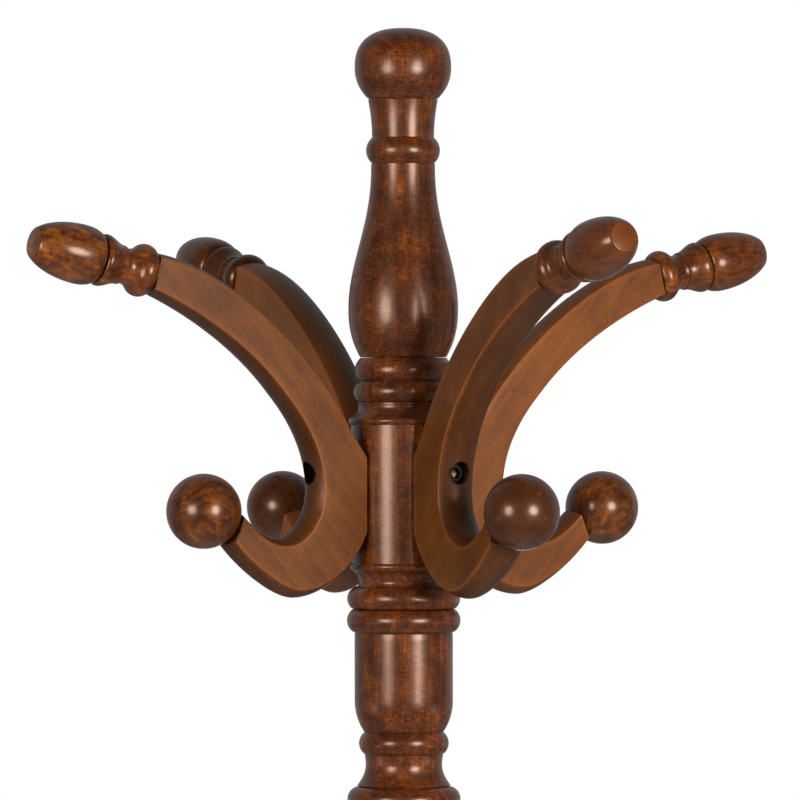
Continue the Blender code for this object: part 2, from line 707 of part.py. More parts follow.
def dowel_hole_mesh(name, back):
    return rod_mesh(name, DOWEL_RADIUS + SLACK, back - OVERRUN, back + DOWEL_HALF + SLACK, FIXING_STEPS)


def tenon_socket_mesh(name, radius, length):
    return rod_mesh(name, radius + SLACK, -length - SLACK, OVERRUN, SMALL_STEPS)


def at_height(height):
    return Matrix.Translation((0.0, 0.0, height))


def around(index, turns=NO_TURNS):
    return Matrix.Rotation(math.radians(FIRST_ARM_ANGLE + index * 360.0 / ARM_COUNT + turns[index]), 4, "Z")


def socket_frame(u, v, degrees):
    """Turns X to point along the given tilt, outward from the point (u, v)."""
    return Matrix.Translation((u, 0.0, v)) @ Matrix.Rotation(-math.radians(degrees), 4, "Y")


def arm_mesh():
    blank = flat_piece("hook_arm", arm_outline(), ARM_THICKNESS, ARM_EDGE)
    back = seat_distance()
    holes = [
        (bolt_hole_mesh("arm_bolt_hole", back + WAIST_DEPTH + ARM_BOLT_HOLE_REACH), Matrix.Identity(4)),
        (dowel_hole_mesh("arm_dowel_hole", back), at_height(-DOWEL_BELOW_BOLT)),
        (
            tenon_socket_mesh("tip_socket", ACORN_TENON_RADIUS, ACORN_TENON_LENGTH),
            socket_frame(TIP_REACH, TIP_RISE, TIP_TILT),
        ),
        (
            tenon_socket_mesh("ball_socket", BALL_TENON_RADIUS, BALL_TENON_LENGTH),
            socket_frame(BALL_END_REACH, -BALL_END_DROP, BALL_TILT),
        ),
    ]
    for mesh, matrix in holes:
        cut(blank, cutter_object(mesh.name, mesh, matrix))
    mesh = baked_mesh(blank, "hook_arm")
    sharpen(mesh)
    return mesh


def leg_mesh():
    blank = flat_piece("leg", leg_outline(), LEG_THICKNESS, LEG_EDGE)
    back = seat_distance()
    bolt_hole = bolt_hole_mesh("leg_bolt_hole", back + LEG_BOLT_HOLE_REACH)
    cut(blank, cutter_object("leg_bolt_hole", bolt_hole, at_height(LEG_BOLT_HEIGHT)))
    dowel_hole = dowel_hole_mesh("leg_dowel_hole", back)
    cut(blank, cutter_object("leg_dowel_hole", dowel_hole, at_height(LEG_BOLT_HEIGHT - DOWEL_BELOW_BOLT)))
    stem = rod_mesh("pad_hole", PAD_STEM_RADIUS + SLACK, -OVERRUN, PAD_STEM_LENGTH + SLACK, SMALL_STEPS)
    stem.transform(Matrix.Rotation(-math.pi / 2, 4, "Y"))
    stem_place = Matrix.Translation((LEG_FOOT_REACH - PAD_INSET, 0.0, SOLE_HEIGHT))
    cut(blank, cutter_object("pad_hole", stem, stem_place))
    mesh = baked_mesh(blank, "leg")
    sharpen(mesh)
    return mesh


def acorn_mesh():
    """The turned tip of an arm and the tenon glued into the arm; X runs outward from the arm's end."""
    collar_end = GAP + ACORN_COLLAR_WIDTH
    neck_end = collar_end + ACORN_NECK_WIDTH
    bead_end = neck_end + ACORN_BEAD_WIDTH
    end = bead_end + ACORN_LENGTH
    widest = bead_end + ACORN_LENGTH * ACORN_WIDEST
    points = [(0.0, end), (ACORN_END_RADIUS, end)]
    start_turn = math.asin(ACORN_END_RADIUS / ACORN_RADIUS)
    for i in range(1, 6):
        turn = start_turn + (math.pi / 2 - start_turn) * i / 5
        along = widest + (end - widest) * math.cos(turn) / math.cos(start_turn)
        points.append((ACORN_RADIUS * math.sin(turn), along))
    for i in range(1, 4):
        turn = math.pi / 2 * i / 3
        radius = ACORN_GROOVE_RADIUS + (ACORN_RADIUS - ACORN_GROOVE_RADIUS) * math.cos(turn)
        points.append((radius, widest - (widest - bead_end) * math.sin(turn)))
    crest = bead_end - ACORN_BEAD_CREST
    shoulder = (ACORN_GROOVE_RADIUS + ACORN_BEAD_RADIUS * 2) / 3
    points += [(shoulder, bead_end - ACORN_BEAD_CREST / 3), (ACORN_BEAD_RADIUS, crest)]
    points += swell(points[-1], (ACORN_NECK_RADIUS + FINE_STEP, neck_end), 0.85, 4)
    points += arc(points[-1], (ACORN_NECK_RADIUS + 2 * FINE_STEP, collar_end), -FINE_STEP, 3)
    collar_edge = ACORN_COLLAR_RADIUS - ACORN_COLLAR_EASE
    points.append((collar_edge, collar_end))
    points += arc(points[-1], (collar_edge, GAP), ACORN_COLLAR_EASE, 4)
    points += [(ACORN_TENON_RADIUS, GAP), (ACORN_TENON_RADIUS, -ACORN_TENON_LENGTH)]
    points.append((0.0, -ACORN_TENON_LENGTH))
    return stepped_mesh("acorn_tip", points, SMALL_STEPS)


def ball_mesh():
    """The ball on the lower hook, with the flat that seats on the arm and the tenon glued into it."""
    centre = GAP + BALL_FLAT_OFFSET
    flat_radius = math.sqrt(BALL_RADIUS**2 - BALL_FLAT_OFFSET**2)
    end_turn = math.pi - math.asin(flat_radius / BALL_RADIUS)
    points = []
    count = 10
    for i in range(count + 1):
        turn = end_turn * i / count
        points.append((BALL_RADIUS * math.sin(turn), centre + BALL_RADIUS * math.cos(turn)))
    points[0] = (0.0, centre + BALL_RADIUS)
    points += [(BALL_TENON_RADIUS, GAP), (BALL_TENON_RADIUS, -BALL_TENON_LENGTH), (0.0, -BALL_TENON_LENGTH)]
    return stepped_mesh("hook_ball", points, SMALL_STEPS)


def bolt_mesh():
    """A socket head bolt along X, its head's underside on the seat in the arm or leg."""
    seat = seat_distance() + BOLT_SEAT + SLACK
    top = seat + BOLT_HEAD_HEIGHT
    end = HUB_RADIUS - BOLT_BELOW_SURFACE
    points = [
        (0.0, top - BOLT_SOCKET_DEPTH),
        (BOLT_SOCKET_RADIUS, top - BOLT_SOCKET_DEPTH),
        (BOLT_SOCKET_RADIUS, top),
        (BOLT_HEAD_RADIUS - BOLT_CHAMFER, top),
        (BOLT_HEAD_RADIUS, top - BOLT_CHAMFER),
        (BOLT_HEAD_RADIUS, seat),
        (BOLT_RADIUS, seat),
        (BOLT_RADIUS, end + BOLT_CHAMFER),
        (BOLT_RADIUS - BOLT_CHAMFER, end),
        (0.0, end),
    ]
    return stepped_mesh("socket_head_bolt", points, FIXING_STEPS)


def tube_mesh(name, outer, inner, low, high, steps):
    """An open tube along Z: the threaded inserts."""
    points = [(inner, low), (inner, high), (outer, high), (outer, low), (inner, low)]
    obj = profile_object(name, points, steps, parts)
    mesh = baked_mesh(obj, name)
    form = bmesh.new()
    form.from_mesh(mesh)
    bmesh.ops.remove_doubles(form, verts=form.verts, dist=WELD)
    form.to_mesh(mesh)
    form.free()
    return mesh


def bolt_insert_mesh():
    high = HUB_RADIUS - INSERT_SINK
    low = high - INSERT_LENGTH
    mesh = tube_mesh("bolt_insert", INSERT_RADIUS, BOLT_RADIUS + SLACK, low, high, FIXING_STEPS)
    mesh.transform(Matrix.Rotation(math.pi / 2, 4, "Y"))
    return mesh


def hub_holes(name, height, turns):
    """The radial bores of a hub, for every insert and dowel round it, as one cutter."""
    insert_low = HUB_RADIUS - INSERT_SINK - INSERT_LENGTH - 2 * SLACK
    dowel_low = HUB_RADIUS - DOWEL_HALF - SLACK
    outer = HUB_RADIUS + OVERRUN
    bores = []
    for index in range(ARM_COUNT):
        insert_bore = rod_mesh("insert_bore", INSERT_RADIUS + SLACK, insert_low, outer, FIXING_STEPS)
        insert_bore.transform(around(index, turns))
        dowel_bore = rod_mesh("dowel_bore", DOWEL_RADIUS + SLACK, dowel_low, outer, FIXING_STEPS)
        dowel_bore.transform(around(index, turns) @ at_height(-DOWEL_BELOW_BOLT))
        bores += [insert_bore, dowel_bore]
    return cutter_object(name, joined(name, bores), at_height(height))


def pad_mesh():
    """A glide under a foot: a chamfered disc whose stem is pressed into the sole."""
    top = SOLE_HEIGHT - GAP
    points = [
        (0.0, top + PAD_STEM_LENGTH),
        (PAD_STEM_RADIUS, top + PAD_STEM_LENGTH),
        (PAD_STEM_RADIUS, top),
        (PAD_RADIUS, top),
        (PAD_RADIUS, PAD_CHAMFER),
        (PAD_RADIUS - PAD_CHAMFER, 0.0),
        (0.0, 0.0),
    ]
    return turned_mesh("foot_pad", points, SMALL_STEPS)


def stud_mesh(name):
    """A stud of steel rod that screws two sections together, standing on the joint's height."""
    points = [
        (0.0, STUD_HALF),
        (STUD_RADIUS - STUD_CHAMFER, STUD_HALF),
        (STUD_RADIUS, STUD_HALF - STUD_CHAMFER),
        (STUD_RADIUS, STUD_CHAMFER - STUD_HALF),
        (STUD_RADIUS - STUD_CHAMFER, -STUD_HALF),
        (0.0, -STUD_HALF),
    ]
    return turned_mesh(name, points, FIXING_STEPS)


# Heights of the joints, from the top down
finial_height = KNOB_RISE + KNOB_DROP + NECK_LENGTH + NECK_BEAD_HEIGHT + BOTTLE_SWELL + BOTTLE_FOOT
finial_joint = RACK_HEIGHT - finial_height
collar_stack = FINE_STEP + 2 * TOP_RING_HEIGHT + COLLAR_HEIGHT
hub_stack = collar_stack + 2 * LIP_HEIGHT + HOOK_CYLINDER + LOWER_COVE
hub_joint = finial_joint - hub_stack - RING_HEIGHT - FINE_STEP
arm_bolt_height = finial_joint - ARM_BOLT_BELOW_HUB_TOP

# The post
turned_section("top_finial", finial_profile(RACK_HEIGHT, finial_joint + GAP), post_wood)
hook_hub = turned_section("hook_hub", hook_hub_profile(finial_joint, hub_joint + GAP), post_wood)
turned_section("upper_post", upper_post_profile(hub_joint, MID_JOINT_HEIGHT + GAP), post_wood)
turned_section("lower_post", lower_post_profile(MID_JOINT_HEIGHT, LEG_HUB_TOP + GAP), post_wood)
leg_hub = turned_section("leg_hub", leg_hub_profile(LEG_HUB_TOP, LEG_HUB_BOTTOM + GAP), post_wood)
turned_section("bottom_drop", bottom_drop_profile(LEG_HUB_BOTTOM), knob_wood)
cut(hook_hub, hub_holes("hook_hub_bores", arm_bolt_height, ARM_TURNS))
cut(leg_hub, hub_holes("leg_hub_bores", LEG_BOLT_HEIGHT, NO_TURNS))

# Studs and threaded inserts between the sections
stud = stud_mesh("section_stud")
insert_bore_radius = STUD_RADIUS + SLACK
insert = tube_mesh(
    "stud_insert", STUD_INSERT_RADIUS, insert_bore_radius, -STUD_INSERT_LENGTH, 0.0, FIXING_STEPS
)
for joint_name, joint in (
    ("finial", finial_joint),
    ("hook_hub", hub_joint),
    ("mid_post", MID_JOINT_HEIGHT),
    ("leg_hub", LEG_HUB_TOP),
):
    place(joint_name + "_stud", stud, steel, at_height(joint))
    place(joint_name + "_stud_insert", insert, brass, at_height(joint - GAP / 2))

# Arms, legs and what holds them
arm = arm_mesh()
acorn = acorn_mesh()
ball = ball_mesh()
leg = leg_mesh()
pad = pad_mesh()
bolt = bolt_mesh()
bolt_insert = bolt_insert_mesh()
dowel_low = HUB_RADIUS - DOWEL_HALF
dowel_high = seat_distance() + DOWEL_HALF
dowel = rod_mesh("locating_dowel", DOWEL_RADIUS, dowel_low, dowel_high, FIXING_STEPS)
for index in range(ARM_COUNT):
    number = str(index + 1)
    arm_frame = at_height(arm_bolt_height) @ around(index, ARM_TURNS)
    place("hook_arm_" + number, arm, arm_wood, arm_frame)
    tip_frame = arm_frame @ socket_frame(TIP_REACH, TIP_RISE, TIP_TILT)
    ball_frame = arm_frame @ socket_frame(BALL_END_REACH, -BALL_END_DROP, BALL_TILT)
    place("acorn_tip_" + number, acorn, knob_wood, tip_frame)
    place("hook_ball_" + number, ball, knob_wood, ball_frame)
    place("arm_bolt_" + number, bolt, steel, arm_frame)
    place("arm_insert_" + number, bolt_insert, brass, arm_frame)
    place("arm_dowel_" + number, dowel, beech, arm_frame @ at_height(-DOWEL_BELOW_BOLT))
    leg_frame = at_height(LEG_BOLT_HEIGHT) @ around(index)
    place("leg_" + number, leg, arm_wood, around(index))
    place("leg_bolt_" + number, bolt, steel, leg_frame)
    place("leg_insert_" + number, bolt_insert, brass, leg_frame)
    place("leg_dowel_" + number, dowel, beech, leg_frame @ at_height(-DOWEL_BELOW_BOLT))
    pad_place = around(index) @ Matrix.Translation((LEG_FOOT_REACH - PAD_INSET, 0.0, 0.0))
    place("foot_pad_" + number, pad, rubber, pad_place)
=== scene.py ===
import math

import bpy
import numpy as np
from mathutils import Matrix, Vector
from mathutils.kdtree import KDTree


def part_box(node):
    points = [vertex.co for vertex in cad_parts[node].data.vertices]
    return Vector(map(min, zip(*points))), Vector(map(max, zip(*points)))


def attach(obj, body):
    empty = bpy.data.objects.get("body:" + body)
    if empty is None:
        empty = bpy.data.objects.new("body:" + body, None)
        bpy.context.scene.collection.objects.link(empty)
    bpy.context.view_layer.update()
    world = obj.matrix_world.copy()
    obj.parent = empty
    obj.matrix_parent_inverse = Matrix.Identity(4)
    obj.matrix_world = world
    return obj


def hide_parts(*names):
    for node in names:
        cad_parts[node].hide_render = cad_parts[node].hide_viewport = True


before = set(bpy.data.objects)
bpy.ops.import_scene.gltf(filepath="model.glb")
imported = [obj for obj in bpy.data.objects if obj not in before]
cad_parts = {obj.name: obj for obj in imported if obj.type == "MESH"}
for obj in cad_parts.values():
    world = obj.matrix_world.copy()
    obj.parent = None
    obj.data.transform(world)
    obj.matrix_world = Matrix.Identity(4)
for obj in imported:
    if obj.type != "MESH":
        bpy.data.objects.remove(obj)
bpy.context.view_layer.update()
mm = 0.001
print("frame loaded")


def nodeSpan(node):
    # lowest and highest level of a node, in mm
    low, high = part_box(node)
    return low.z / mm, high.z / mm


# Small tools for profiles, all in mm. Points are (radius, height) rows, from the top down.

def addRows(points, radius, height):
    points.extend(np.column_stack([radius, height]).tolist())


def arcTo(points, end, bulge, count=14):
    # adds a circular arc from the last point to end; a positive bulge stands outward of the chord
    start = np.array(points[-1], float)
    end = np.array(end, float)
    chord = np.linalg.norm(end - start)
    along = (end - start) / chord
    outward = np.array([-along[1], along[0]])
    radius = (chord * chord / 4 + bulge * bulge) / (2 * abs(bulge))
    side = math.copysign(1.0, bulge)
    centre = (start + end) / 2 + outward * (bulge - side * radius)
    half = math.asin(min(1.0, chord / 2 / radius))
    if abs(bulge) > chord / 2:
        half = math.pi - half
    turn = half * (2 * np.arange(1, count + 1) / count - 1)
    made = centre + side * radius * np.cos(turn)[:, None] * outward + radius * np.sin(turn)[:, None] * along
    points.extend(made.tolist())


def swellTo(points, end, skew=1.0, count=36):
    # adds an S-shaped change of radius, level at both ends: a half turn of a cosine, run on t to the power
    # skew
    r0, z0 = points[-1]
    t = np.arange(1, count + 1) / count
    share = (1 - np.cos(math.pi * t**skew)) / 2
    addRows(points, r0 + (end[0] - r0) * share, z0 + (end[1] - z0) * t)


def taperTo(points, end, power=1.0, count=18):
    # adds a change of radius that grows with t to the power given
    r0, z0 = points[-1]
    t = np.arange(1, count + 1) / count
    addRows(points, r0 + (end[0] - r0) * t**power, z0 + (end[1] - z0) * t)


def down(points, fall, radius, count=1):
    # adds a straight run down by fall to radius
    taperTo(points, (radius, points[-1][1] - fall), 1.0, count)


def stepTo(points, radius, fall):
    # adds one point, lower by fall
    points.append((radius, points[-1][1] - fall))


def beadTo(points, radius, fall, bulge, count):
    # adds an arc that ends lower by fall
    arcTo(points, (radius, points[-1][1] - fall), bulge, count)


crestFade = 0.35  # how much less a crest counts for each mm along
darkDepth = 2.2  # mm below its crests at which a groove is painted fully dark: painted shade, together with stain that gathers there


def hollowness(points, reach=3.0):
    # How far each point lies below what stands out on both sides of it within reach: 0 on the crests, 1
    # deep in a groove. What stands out counts for less the farther along it is.
    profile = np.array(points, float)
    gap = np.abs(profile[:, None, 1] - profile[None, :, 1])
    near = np.where(gap < reach, profile[None, :, 0] - gap * crestFade, -1.0)
    order = np.arange(len(profile))
    before = np.where(order[None, :] <= order[:, None], near, -1.0).max(axis=1)
    after = np.where(order[None, :] >= order[:, None], near, -1.0).max(axis=1)
    depth = np.minimum(before, after) - profile[:, 0]
    return np.clip(depth / darkDepth, 0, 1)


# Meshes.

def meshObject(name, vertices, faces, smoothAngle=32.0):
    # vertices in mm; each face is a list of vertex numbers
    mesh = bpy.data.meshes.new(name)
    mesh.from_pydata((np.asarray(vertices) * mm).tolist(), [], faces)
    mesh.validate()
    obj = bpy.data.objects.new(name, mesh)
    bpy.context.scene.collection.objects.link(obj)
    mesh.shade_smooth()
    mesh.set_sharp_from_angle(angle=math.radians(smoothAngle))
    return obj


def gridFaces(rows, columns, closed):
    # quads of a grid whose vertices run along the columns first; closed joins the last column to the first
    i = np.arange(rows - 1)[:, None]
    j = np.arange(columns if closed else columns - 1)[None, :]
    k = (j + 1) % columns
    first, second = i * columns, (i + 1) * columns
    return np.stack([first + j, first + k, second + k, second + j], axis=-1).reshape(-1, 4)


poleRadius = 1e-6


def turnedGrid(points, steps):
    # surface of revolution: radius and height along the profile, angle round the axis; poles become single
    # vertices
    profile = np.array(points, float)
    angle = 2 * math.pi * np.arange(steps) / steps
    inner = profile[profile[:, 0] > poleRadius]
    x = inner[:, 0, None] * np.cos(angle)
    y = inner[:, 0, None] * np.sin(angle)
    z = np.repeat(inner[:, 1, None], steps, axis=1)
    vertices = np.stack([x, y, z], axis=-1).reshape(-1, 3)
    faces = gridFaces(len(inner), steps, True)[:, ::-1].tolist()
    last = (len(inner) - 1) * steps
    ring = np.arange(steps)
    if profile[0, 0] <= poleRadius:
        top = len(vertices)
        vertices = np.vstack([vertices, [0, 0, profile[0, 1]]])
        faces += [[top, int(a), int(b)] for a, b in zip(ring, np.roll(ring, -1))]
    if profile[-1, 0] <= poleRadius:
        bottom = len(vertices)
        vertices = np.vstack([vertices, [0, 0, profile[-1, 1]]])
        faces += [[bottom, int(last + b), int(last + a)] for a, b in zip(ring, np.roll(ring, -1))]
    return vertices, faces


def storePoints(obj, name, values):
    # a number or a vector for each vertex, which the materials read
    values = np.asarray(values, np.float32)
    kind = "FLOAT_VECTOR" if values.ndim == 2 else "FLOAT"
    attribute = obj.data.attributes.new(name, kind, "POINT")
    attribute.data.foreach_set("vector" if values.ndim == 2 else "value", values.ravel())


def vertexArray(mesh):
    co = np.empty(len(mesh.vertices) * 3, np.float32)
    mesh.vertices.foreach_get("co", co)
    return co.reshape(-1, 3).astype(float)


def moved(vertices, matrix):
    # points in mm through a 4x4 whose shift is in mm
    m = np.array(matrix)
    return vertices @ m[:3, :3].T + m[:3, 3]


def cutWith(obj, cutters):
    # exact Booleans with closed helper meshes, applied at once and the helpers removed
    for cutter in cutters:
        modifier = obj.modifiers.new(cutter.name, "BOOLEAN")
        modifier.operation = "DIFFERENCE"
        modifier.solver = "EXACT"
        modifier.object = cutter
    bpy.context.view_layer.update()
    graph = bpy.context.evaluated_depsgraph_get()
    mesh = bpy.data.meshes.new_from_object(obj.evaluated_get(graph), depsgraph=graph)
    obj.modifiers.clear()
    obj.data = mesh
    for cutter in cutters:
        bpy.data.objects.remove(cutter, do_unlink=True)


def rodCutter(name, points, matrix, steps=48):
    # a turned solid as a cutter; matrix is in mm
    vertices, faces = turnedGrid(points, steps)
    return meshObject(name, moved(vertices, matrix), faces)


def layDown():
    # turns a profile's axis from Z to X
    return Matrix.Rotation(math.pi / 2, 4, "Y")


def settle(obj, nodes, material):
    # every piece stands still on the one body and stands for its CAD nodes
    obj.data.materials.clear()
    obj.data.materials.append(material)
    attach(obj, "root")
    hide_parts(*nodes)


# Materials.

def linear(hexColour):
    # an sRGB hex value as linear RGBA
    channels = [int(hexColour[i:i + 2], 16) / 255 for i in (1, 3, 5)]
    return [c / 12.92 if c <= 0.04045 else ((c + 0.055) / 1.055) ** 2.4 for c in channels] + [1.0]


def addNode(tree, kind, settings=None, inputs=None):
    # one node: settings are its properties, inputs are socket values or the sockets that feed them
    node = tree.nodes.new(kind)
    for key, value in (settings or {}).items():
        setattr(node, key, value)
    for key, value in (inputs or {}).items():
        if isinstance(value, bpy.types.NodeSocket):
            tree.links.new(value, node.inputs[key])
        else:
            node.inputs[key].default_value = value
    return node


def setRamp(node, stops):
    # colour stops: (position, hex) pairs
    ramp = node.color_ramp
    while len(ramp.elements) > len(stops):
        ramp.elements.remove(ramp.elements[-1])
    while len(ramp.elements) < len(stops):
        ramp.elements.new(0.5)
    for element, (position, colour) in zip(ramp.elements, stops):
        element.position = position
        element.color = linear(colour)
    return node


def newMaterial(name):
    material = bpy.data.materials.new(name)
    material.use_nodes = True
    tree = material.node_tree
    return material, tree, tree.nodes["Principled BSDF"]


def stainedHardwood(name, look):
    # A fine, even hardwood under a walnut stain and lacquer. The stain soaks unevenly into soft and hard
    # fibres, so it shows as faint growth rings, long streaks along the grain, short flecks across it and
    # cloudy patches. The hollows are painted nearly black: painted shade, together with the stain that
    # gathers there. The lacquer is a clear coat over a duller stained surface. The attribute "grain" is the
    # place in the wood in mm, with the grain along its Z; "figure" is how strong the pattern is in one piece;
    # the shade attribute is how much darker a place is painted, as painted shade and as stain that gathers in
    # hollows and that some pieces took more of; the worn attribute is how much paler it is painted, as stain
    # rubbed away and as painted light and highlight.
    material, tree, shader = newMaterial(name)

    def stored(name, output="Fac"):
        return addNode(tree, "ShaderNodeAttribute", {"attribute_name": name}).outputs[output]

    place = stored("grain", "Vector")

    def pattern(millimetres, detail=2.0, roughness=0.5, distortion=0.0):
        # noise whose blotches have these sizes in mm along the grain's X, Y and Z
        scaled = addNode(tree, "ShaderNodeVectorMath", {"operation": "DIVIDE"}, {0: place, 1: millimetres})
        return addNode(tree, "ShaderNodeTexNoise", {"noise_dimensions": "3D"}, {
            "Vector": scaled.outputs[0], "Scale": 1.0, "Detail": detail, "Roughness": roughness,
            "Distortion": distortion}).outputs["Fac"]

    def band(value, low, high, first=0.0, last=1.0):
        ends = {"Value": value, "From Min": low, "From Max": high, "To Min": first, "To Max": last}
        smooth = addNode(tree, "ShaderNodeMapRange", {"interpolation_type": "SMOOTHSTEP"}, ends)
        return smooth.outputs["Result"]

    def combine(operation, first, second):
        return addNode(tree, "ShaderNodeMath", {"operation": operation}, {0: first, 1: second}).outputs[0]

    def blend(share, under, over):
        # a colour laid over another one in this share
        ends = {"Factor": share, "A": under, "B": linear(over)}
        return addNode(tree, "ShaderNodeMix", {"data_type": "RGBA"}, ends).outputs["Result"]

    # growth rings: distance from the pith, bent by slow noise, through a sine
    wander = pattern(look["wander"], 1.0)
    parts = addNode(tree, "ShaderNodeSeparateXYZ", inputs={0: place}).outputs
    squares = [combine("MULTIPLY", part, part) for part in (parts[0], parts[1])]
    distance = combine("SQRT", combine("ADD", *squares), 0.0)
    bent = combine("MULTIPLY", wander, look["bend"])
    turns = combine("DIVIDE", combine("ADD", distance, bent), look["ringWidth"])
    phase = combine("FRACT", turns, 0.0)
    rings = addNode(tree, "ShaderNodeMapRange", {"interpolation_type": "SMOOTHERSTEP"}, {
        "Value": phase, "From Min": 0.0, "From Max": 1.0}).outputs["Result"]

    streaks = pattern(look["streak"], 3.0, 0.6)
    fibres = pattern(look["fibre"], 2.0, 0.6)
    flecks = pattern(look["fleck"], 2.0, 0.5)
    clouds = pattern(look["cloud"], 3.0, 0.55, 0.6)
    pores = band(pattern(look["pore"], 1.0, 0.5), 0.60, 0.72)

    tone = combine("MULTIPLY", rings, look["ringShare"])
    for kind, value in (("streak", streaks), ("fibre", fibres), ("fleck", flecks), ("cloud", clouds)):
        weighted = combine("MULTIPLY_ADD", combine("SUBTRACT", value, 0.5), look[kind + "Share"])
        tree.links.new(tone, weighted.node.inputs[2])
        tone = weighted
    tone = combine("ADD", combine("MULTIPLY", tone, stored("figure")), look["lift"])
    stained = setRamp(addNode(tree, "ShaderNodeValToRGB", inputs={"Fac": tone}), look["stain"])

    darkened = blend(combine("MULTIPLY", pores, look["poreShare"]), stained.outputs["Color"], look["deep"])
    # painted shade, together with stain that gathers: darker towards the deep colour in the grooves, in the
    # bolt holes, on the crowned faces and on boards painted darker
    uneven = combine("MULTIPLY", stored("stainAndShade"), band(clouds, 0.2, 0.6, 0.85, 1.1))
    soakedAndShaded = blend(uneven, darkened, look["deep"])
    # painted light and highlight, together with wear: paler towards the bare colour on the rubbed edges,
    # along the arrises and on boards painted paler
    rubbedAndLit = blend(stored("wornAndLit"), soakedAndShaded, look["bareAndLit"])
    tree.links.new(rubbedAndLit, shader.inputs["Base Color"])

    tree.links.new(band(fibres, 0.3, 0.7, *look["roughness"]), shader.inputs["Roughness"])
    relief = combine("ADD", combine("MULTIPLY", fibres, 0.5), combine("MULTIPLY", pores, -0.6))
    for strength, reach, height, socket in ((look["relief"], 0.12 * mm, relief, "Normal"),
                                            (look["orangePeel"], 0.6 * mm, clouds, "Coat Normal")):
        bump = addNode(tree, "ShaderNodeBump", inputs={
            "Strength": strength, "Distance": reach, "Height": height})
        tree.links.new(bump.outputs["Normal"], shader.inputs[socket])
    for socket, value in (("Specular IOR Level", look["sheen"]), ("Coat Weight", look["coat"]),
                          ("Coat Roughness", look["coatRoughness"]), ("Coat IOR", 1.5)):
        shader.inputs[socket].default_value = value
    return material


# post: turned from straight stock with the rings' centre well outside it, dark brown and glossy
postLook = {
    "wander": (30.0, 30.0, 160.0), "bend": 9.0, "ringWidth": 5.5,
    "streak": (1.0, 1.0, 22.0), "fibre": (0.30, 0.30, 4.5), "fleck": (2.6, 2.6, 0.45),
    "cloud": (16.0, 16.0, 13.0), "pore": (0.40, 0.40, 2.4),
    "ringShare": 0.08, "streakShare": 0.60, "fibreShare": 0.50, "fleckShare": 0.80, "cloudShare": 0.85,
    "lift": 0.40, "poreShare": 0.50,
    "stain": ((0.0, "#1E0B03"), (0.35, "#402109"), (0.65, "#6B3D13"), (1.0, "#A0702C")),
    # the deep colour is that of stain in the pores and of painted shade; the bare colour is that of rubbed
    # wood and of painted light
    "deep": "#100604", "bareAndLit": "#9A6538",
    "roughness": (0.38, 0.52), "relief": 0.30, "orangePeel": 0.10, "sheen": 0.18, "coat": 0.75,
    "coatRoughness": 0.25,
}
# arms and legs: sawn from boards, tanner and satin on the flats
armLook = dict(
    postLook, wander=(40.0, 40.0, 120.0), bend=14.0, ringWidth=8.0, streak=(1.2, 1.2, 40.0),
    fibre=(0.30, 0.30, 4.0), fleck=(0.9, 2.0, 0.6), cloud=(22.0, 22.0, 34.0), pore=(0.36, 0.36, 1.6),
    ringShare=0.06, streakShare=0.35, fleckShare=0.25, cloudShare=0.80, lift=0.50,
    stain=((0.0, "#2D1907"), (0.35, "#50310F"), (0.65, "#70491C"), (1.0, "#8E6730")),
    roughness=(0.42, 0.56), relief=0.4, sheen=0.20, coat=0.25, coatRoughness=0.32,
)
# balls, tips and the drop: turned from smaller stock, with a little curly figure
knobLook = dict(
    postLook, wander=(14.0, 14.0, 30.0), bend=12.0, ringWidth=3.2, streak=(1.4, 1.4, 9.0),
    cloud=(9.0, 9.0, 11.0), ringShare=0.12, streakShare=0.40, fleckShare=0.3, cloudShare=1.2,
    stain=((0.0, "#220E04"), (0.35, "#46260C"), (0.65, "#704518"), (1.0, "#9C6E2F")),
    coat=0.7, coatRoughness=0.22,
)
postWood = stainedHardwood("lacqueredWalnutStainTurned", postLook)
armWood = stainedHardwood("lacqueredWalnutStainSawn", armLook)
knobWood = stainedHardwood("lacqueredWalnutStainKnobs", knobLook)


def speckled(name, grainSize, detail, stops, roughness, metallic=0.0):
    # a plain material whose colour follows fine noise; grainSize in mm
    material, tree, shader = newMaterial(name)
    place = addNode(tree, "ShaderNodeTexCoord").outputs["Object"]
    noise = addNode(tree, "ShaderNodeTexNoise", inputs={
        "Vector": place, "Scale": 1 / (grainSize * mm), "Detail": detail}).outputs["Fac"]
    tint = setRamp(addNode(tree, "ShaderNodeValToRGB", inputs={"Fac": noise}), stops)
    tree.links.new(tint.outputs["Color"], shader.inputs["Base Color"])
    shader.inputs["Metallic"].default_value = metallic
    shader.inputs["Roughness"].default_value = roughness
    return material, tree, shader, noise


def blackenedSteel():
    # Black-oxide steel, dark and oily: fine noise of about half a millimetre in its roughness.
    stops = ((0.2, "#2A2826"), (0.8, "#42403D"))
    material, tree, shader, grit = speckled("blackOxideSteel", 0.5, 2.0, stops, 0.33, 1.0)
    rough = addNode(tree, "ShaderNodeMapRange", inputs={"Value": grit, "To Min": 0.24, "To Max": 0.42})
    tree.links.new(rough.outputs["Result"], shader.inputs["Roughness"])
    return material


def mouldedRubber():
    # Moulded rubber: nearly black and dull, with a grain of about 0.8 mm.
    stops = ((0.3, "#161514"), (0.7, "#262422"))
    material, tree, shader, grain = speckled("mouldedRubberPad", 0.8, 3.0, stops, 0.75)
    bump = addNode(tree, "ShaderNodeBump", inputs={"Strength": 0.3, "Distance": 0.2 * mm, "Height": grain})
    tree.links.new(bump.outputs["Normal"], shader.inputs["Normal"])
    return material


steel = blackenedSteel()
# free-cutting brass from the lathe, with fine turning marks a third of a millimetre apart
brass = speckled("turnedBrass", 0.33, 1.0, ((0.2, "#B88F45"), (0.8, "#D8B468")), 0.34, 1.0)[0]
# unfinished beech: pale, with short brown flecks about 2 mm long
beech = speckled("plainBeechDowel", 2.0, 4.0, ((0.3, "#B98F63"), (0.7, "#DCBB91")), 0.7)[0]
rubber = mouldedRubber()
print("materials made")


# The post.

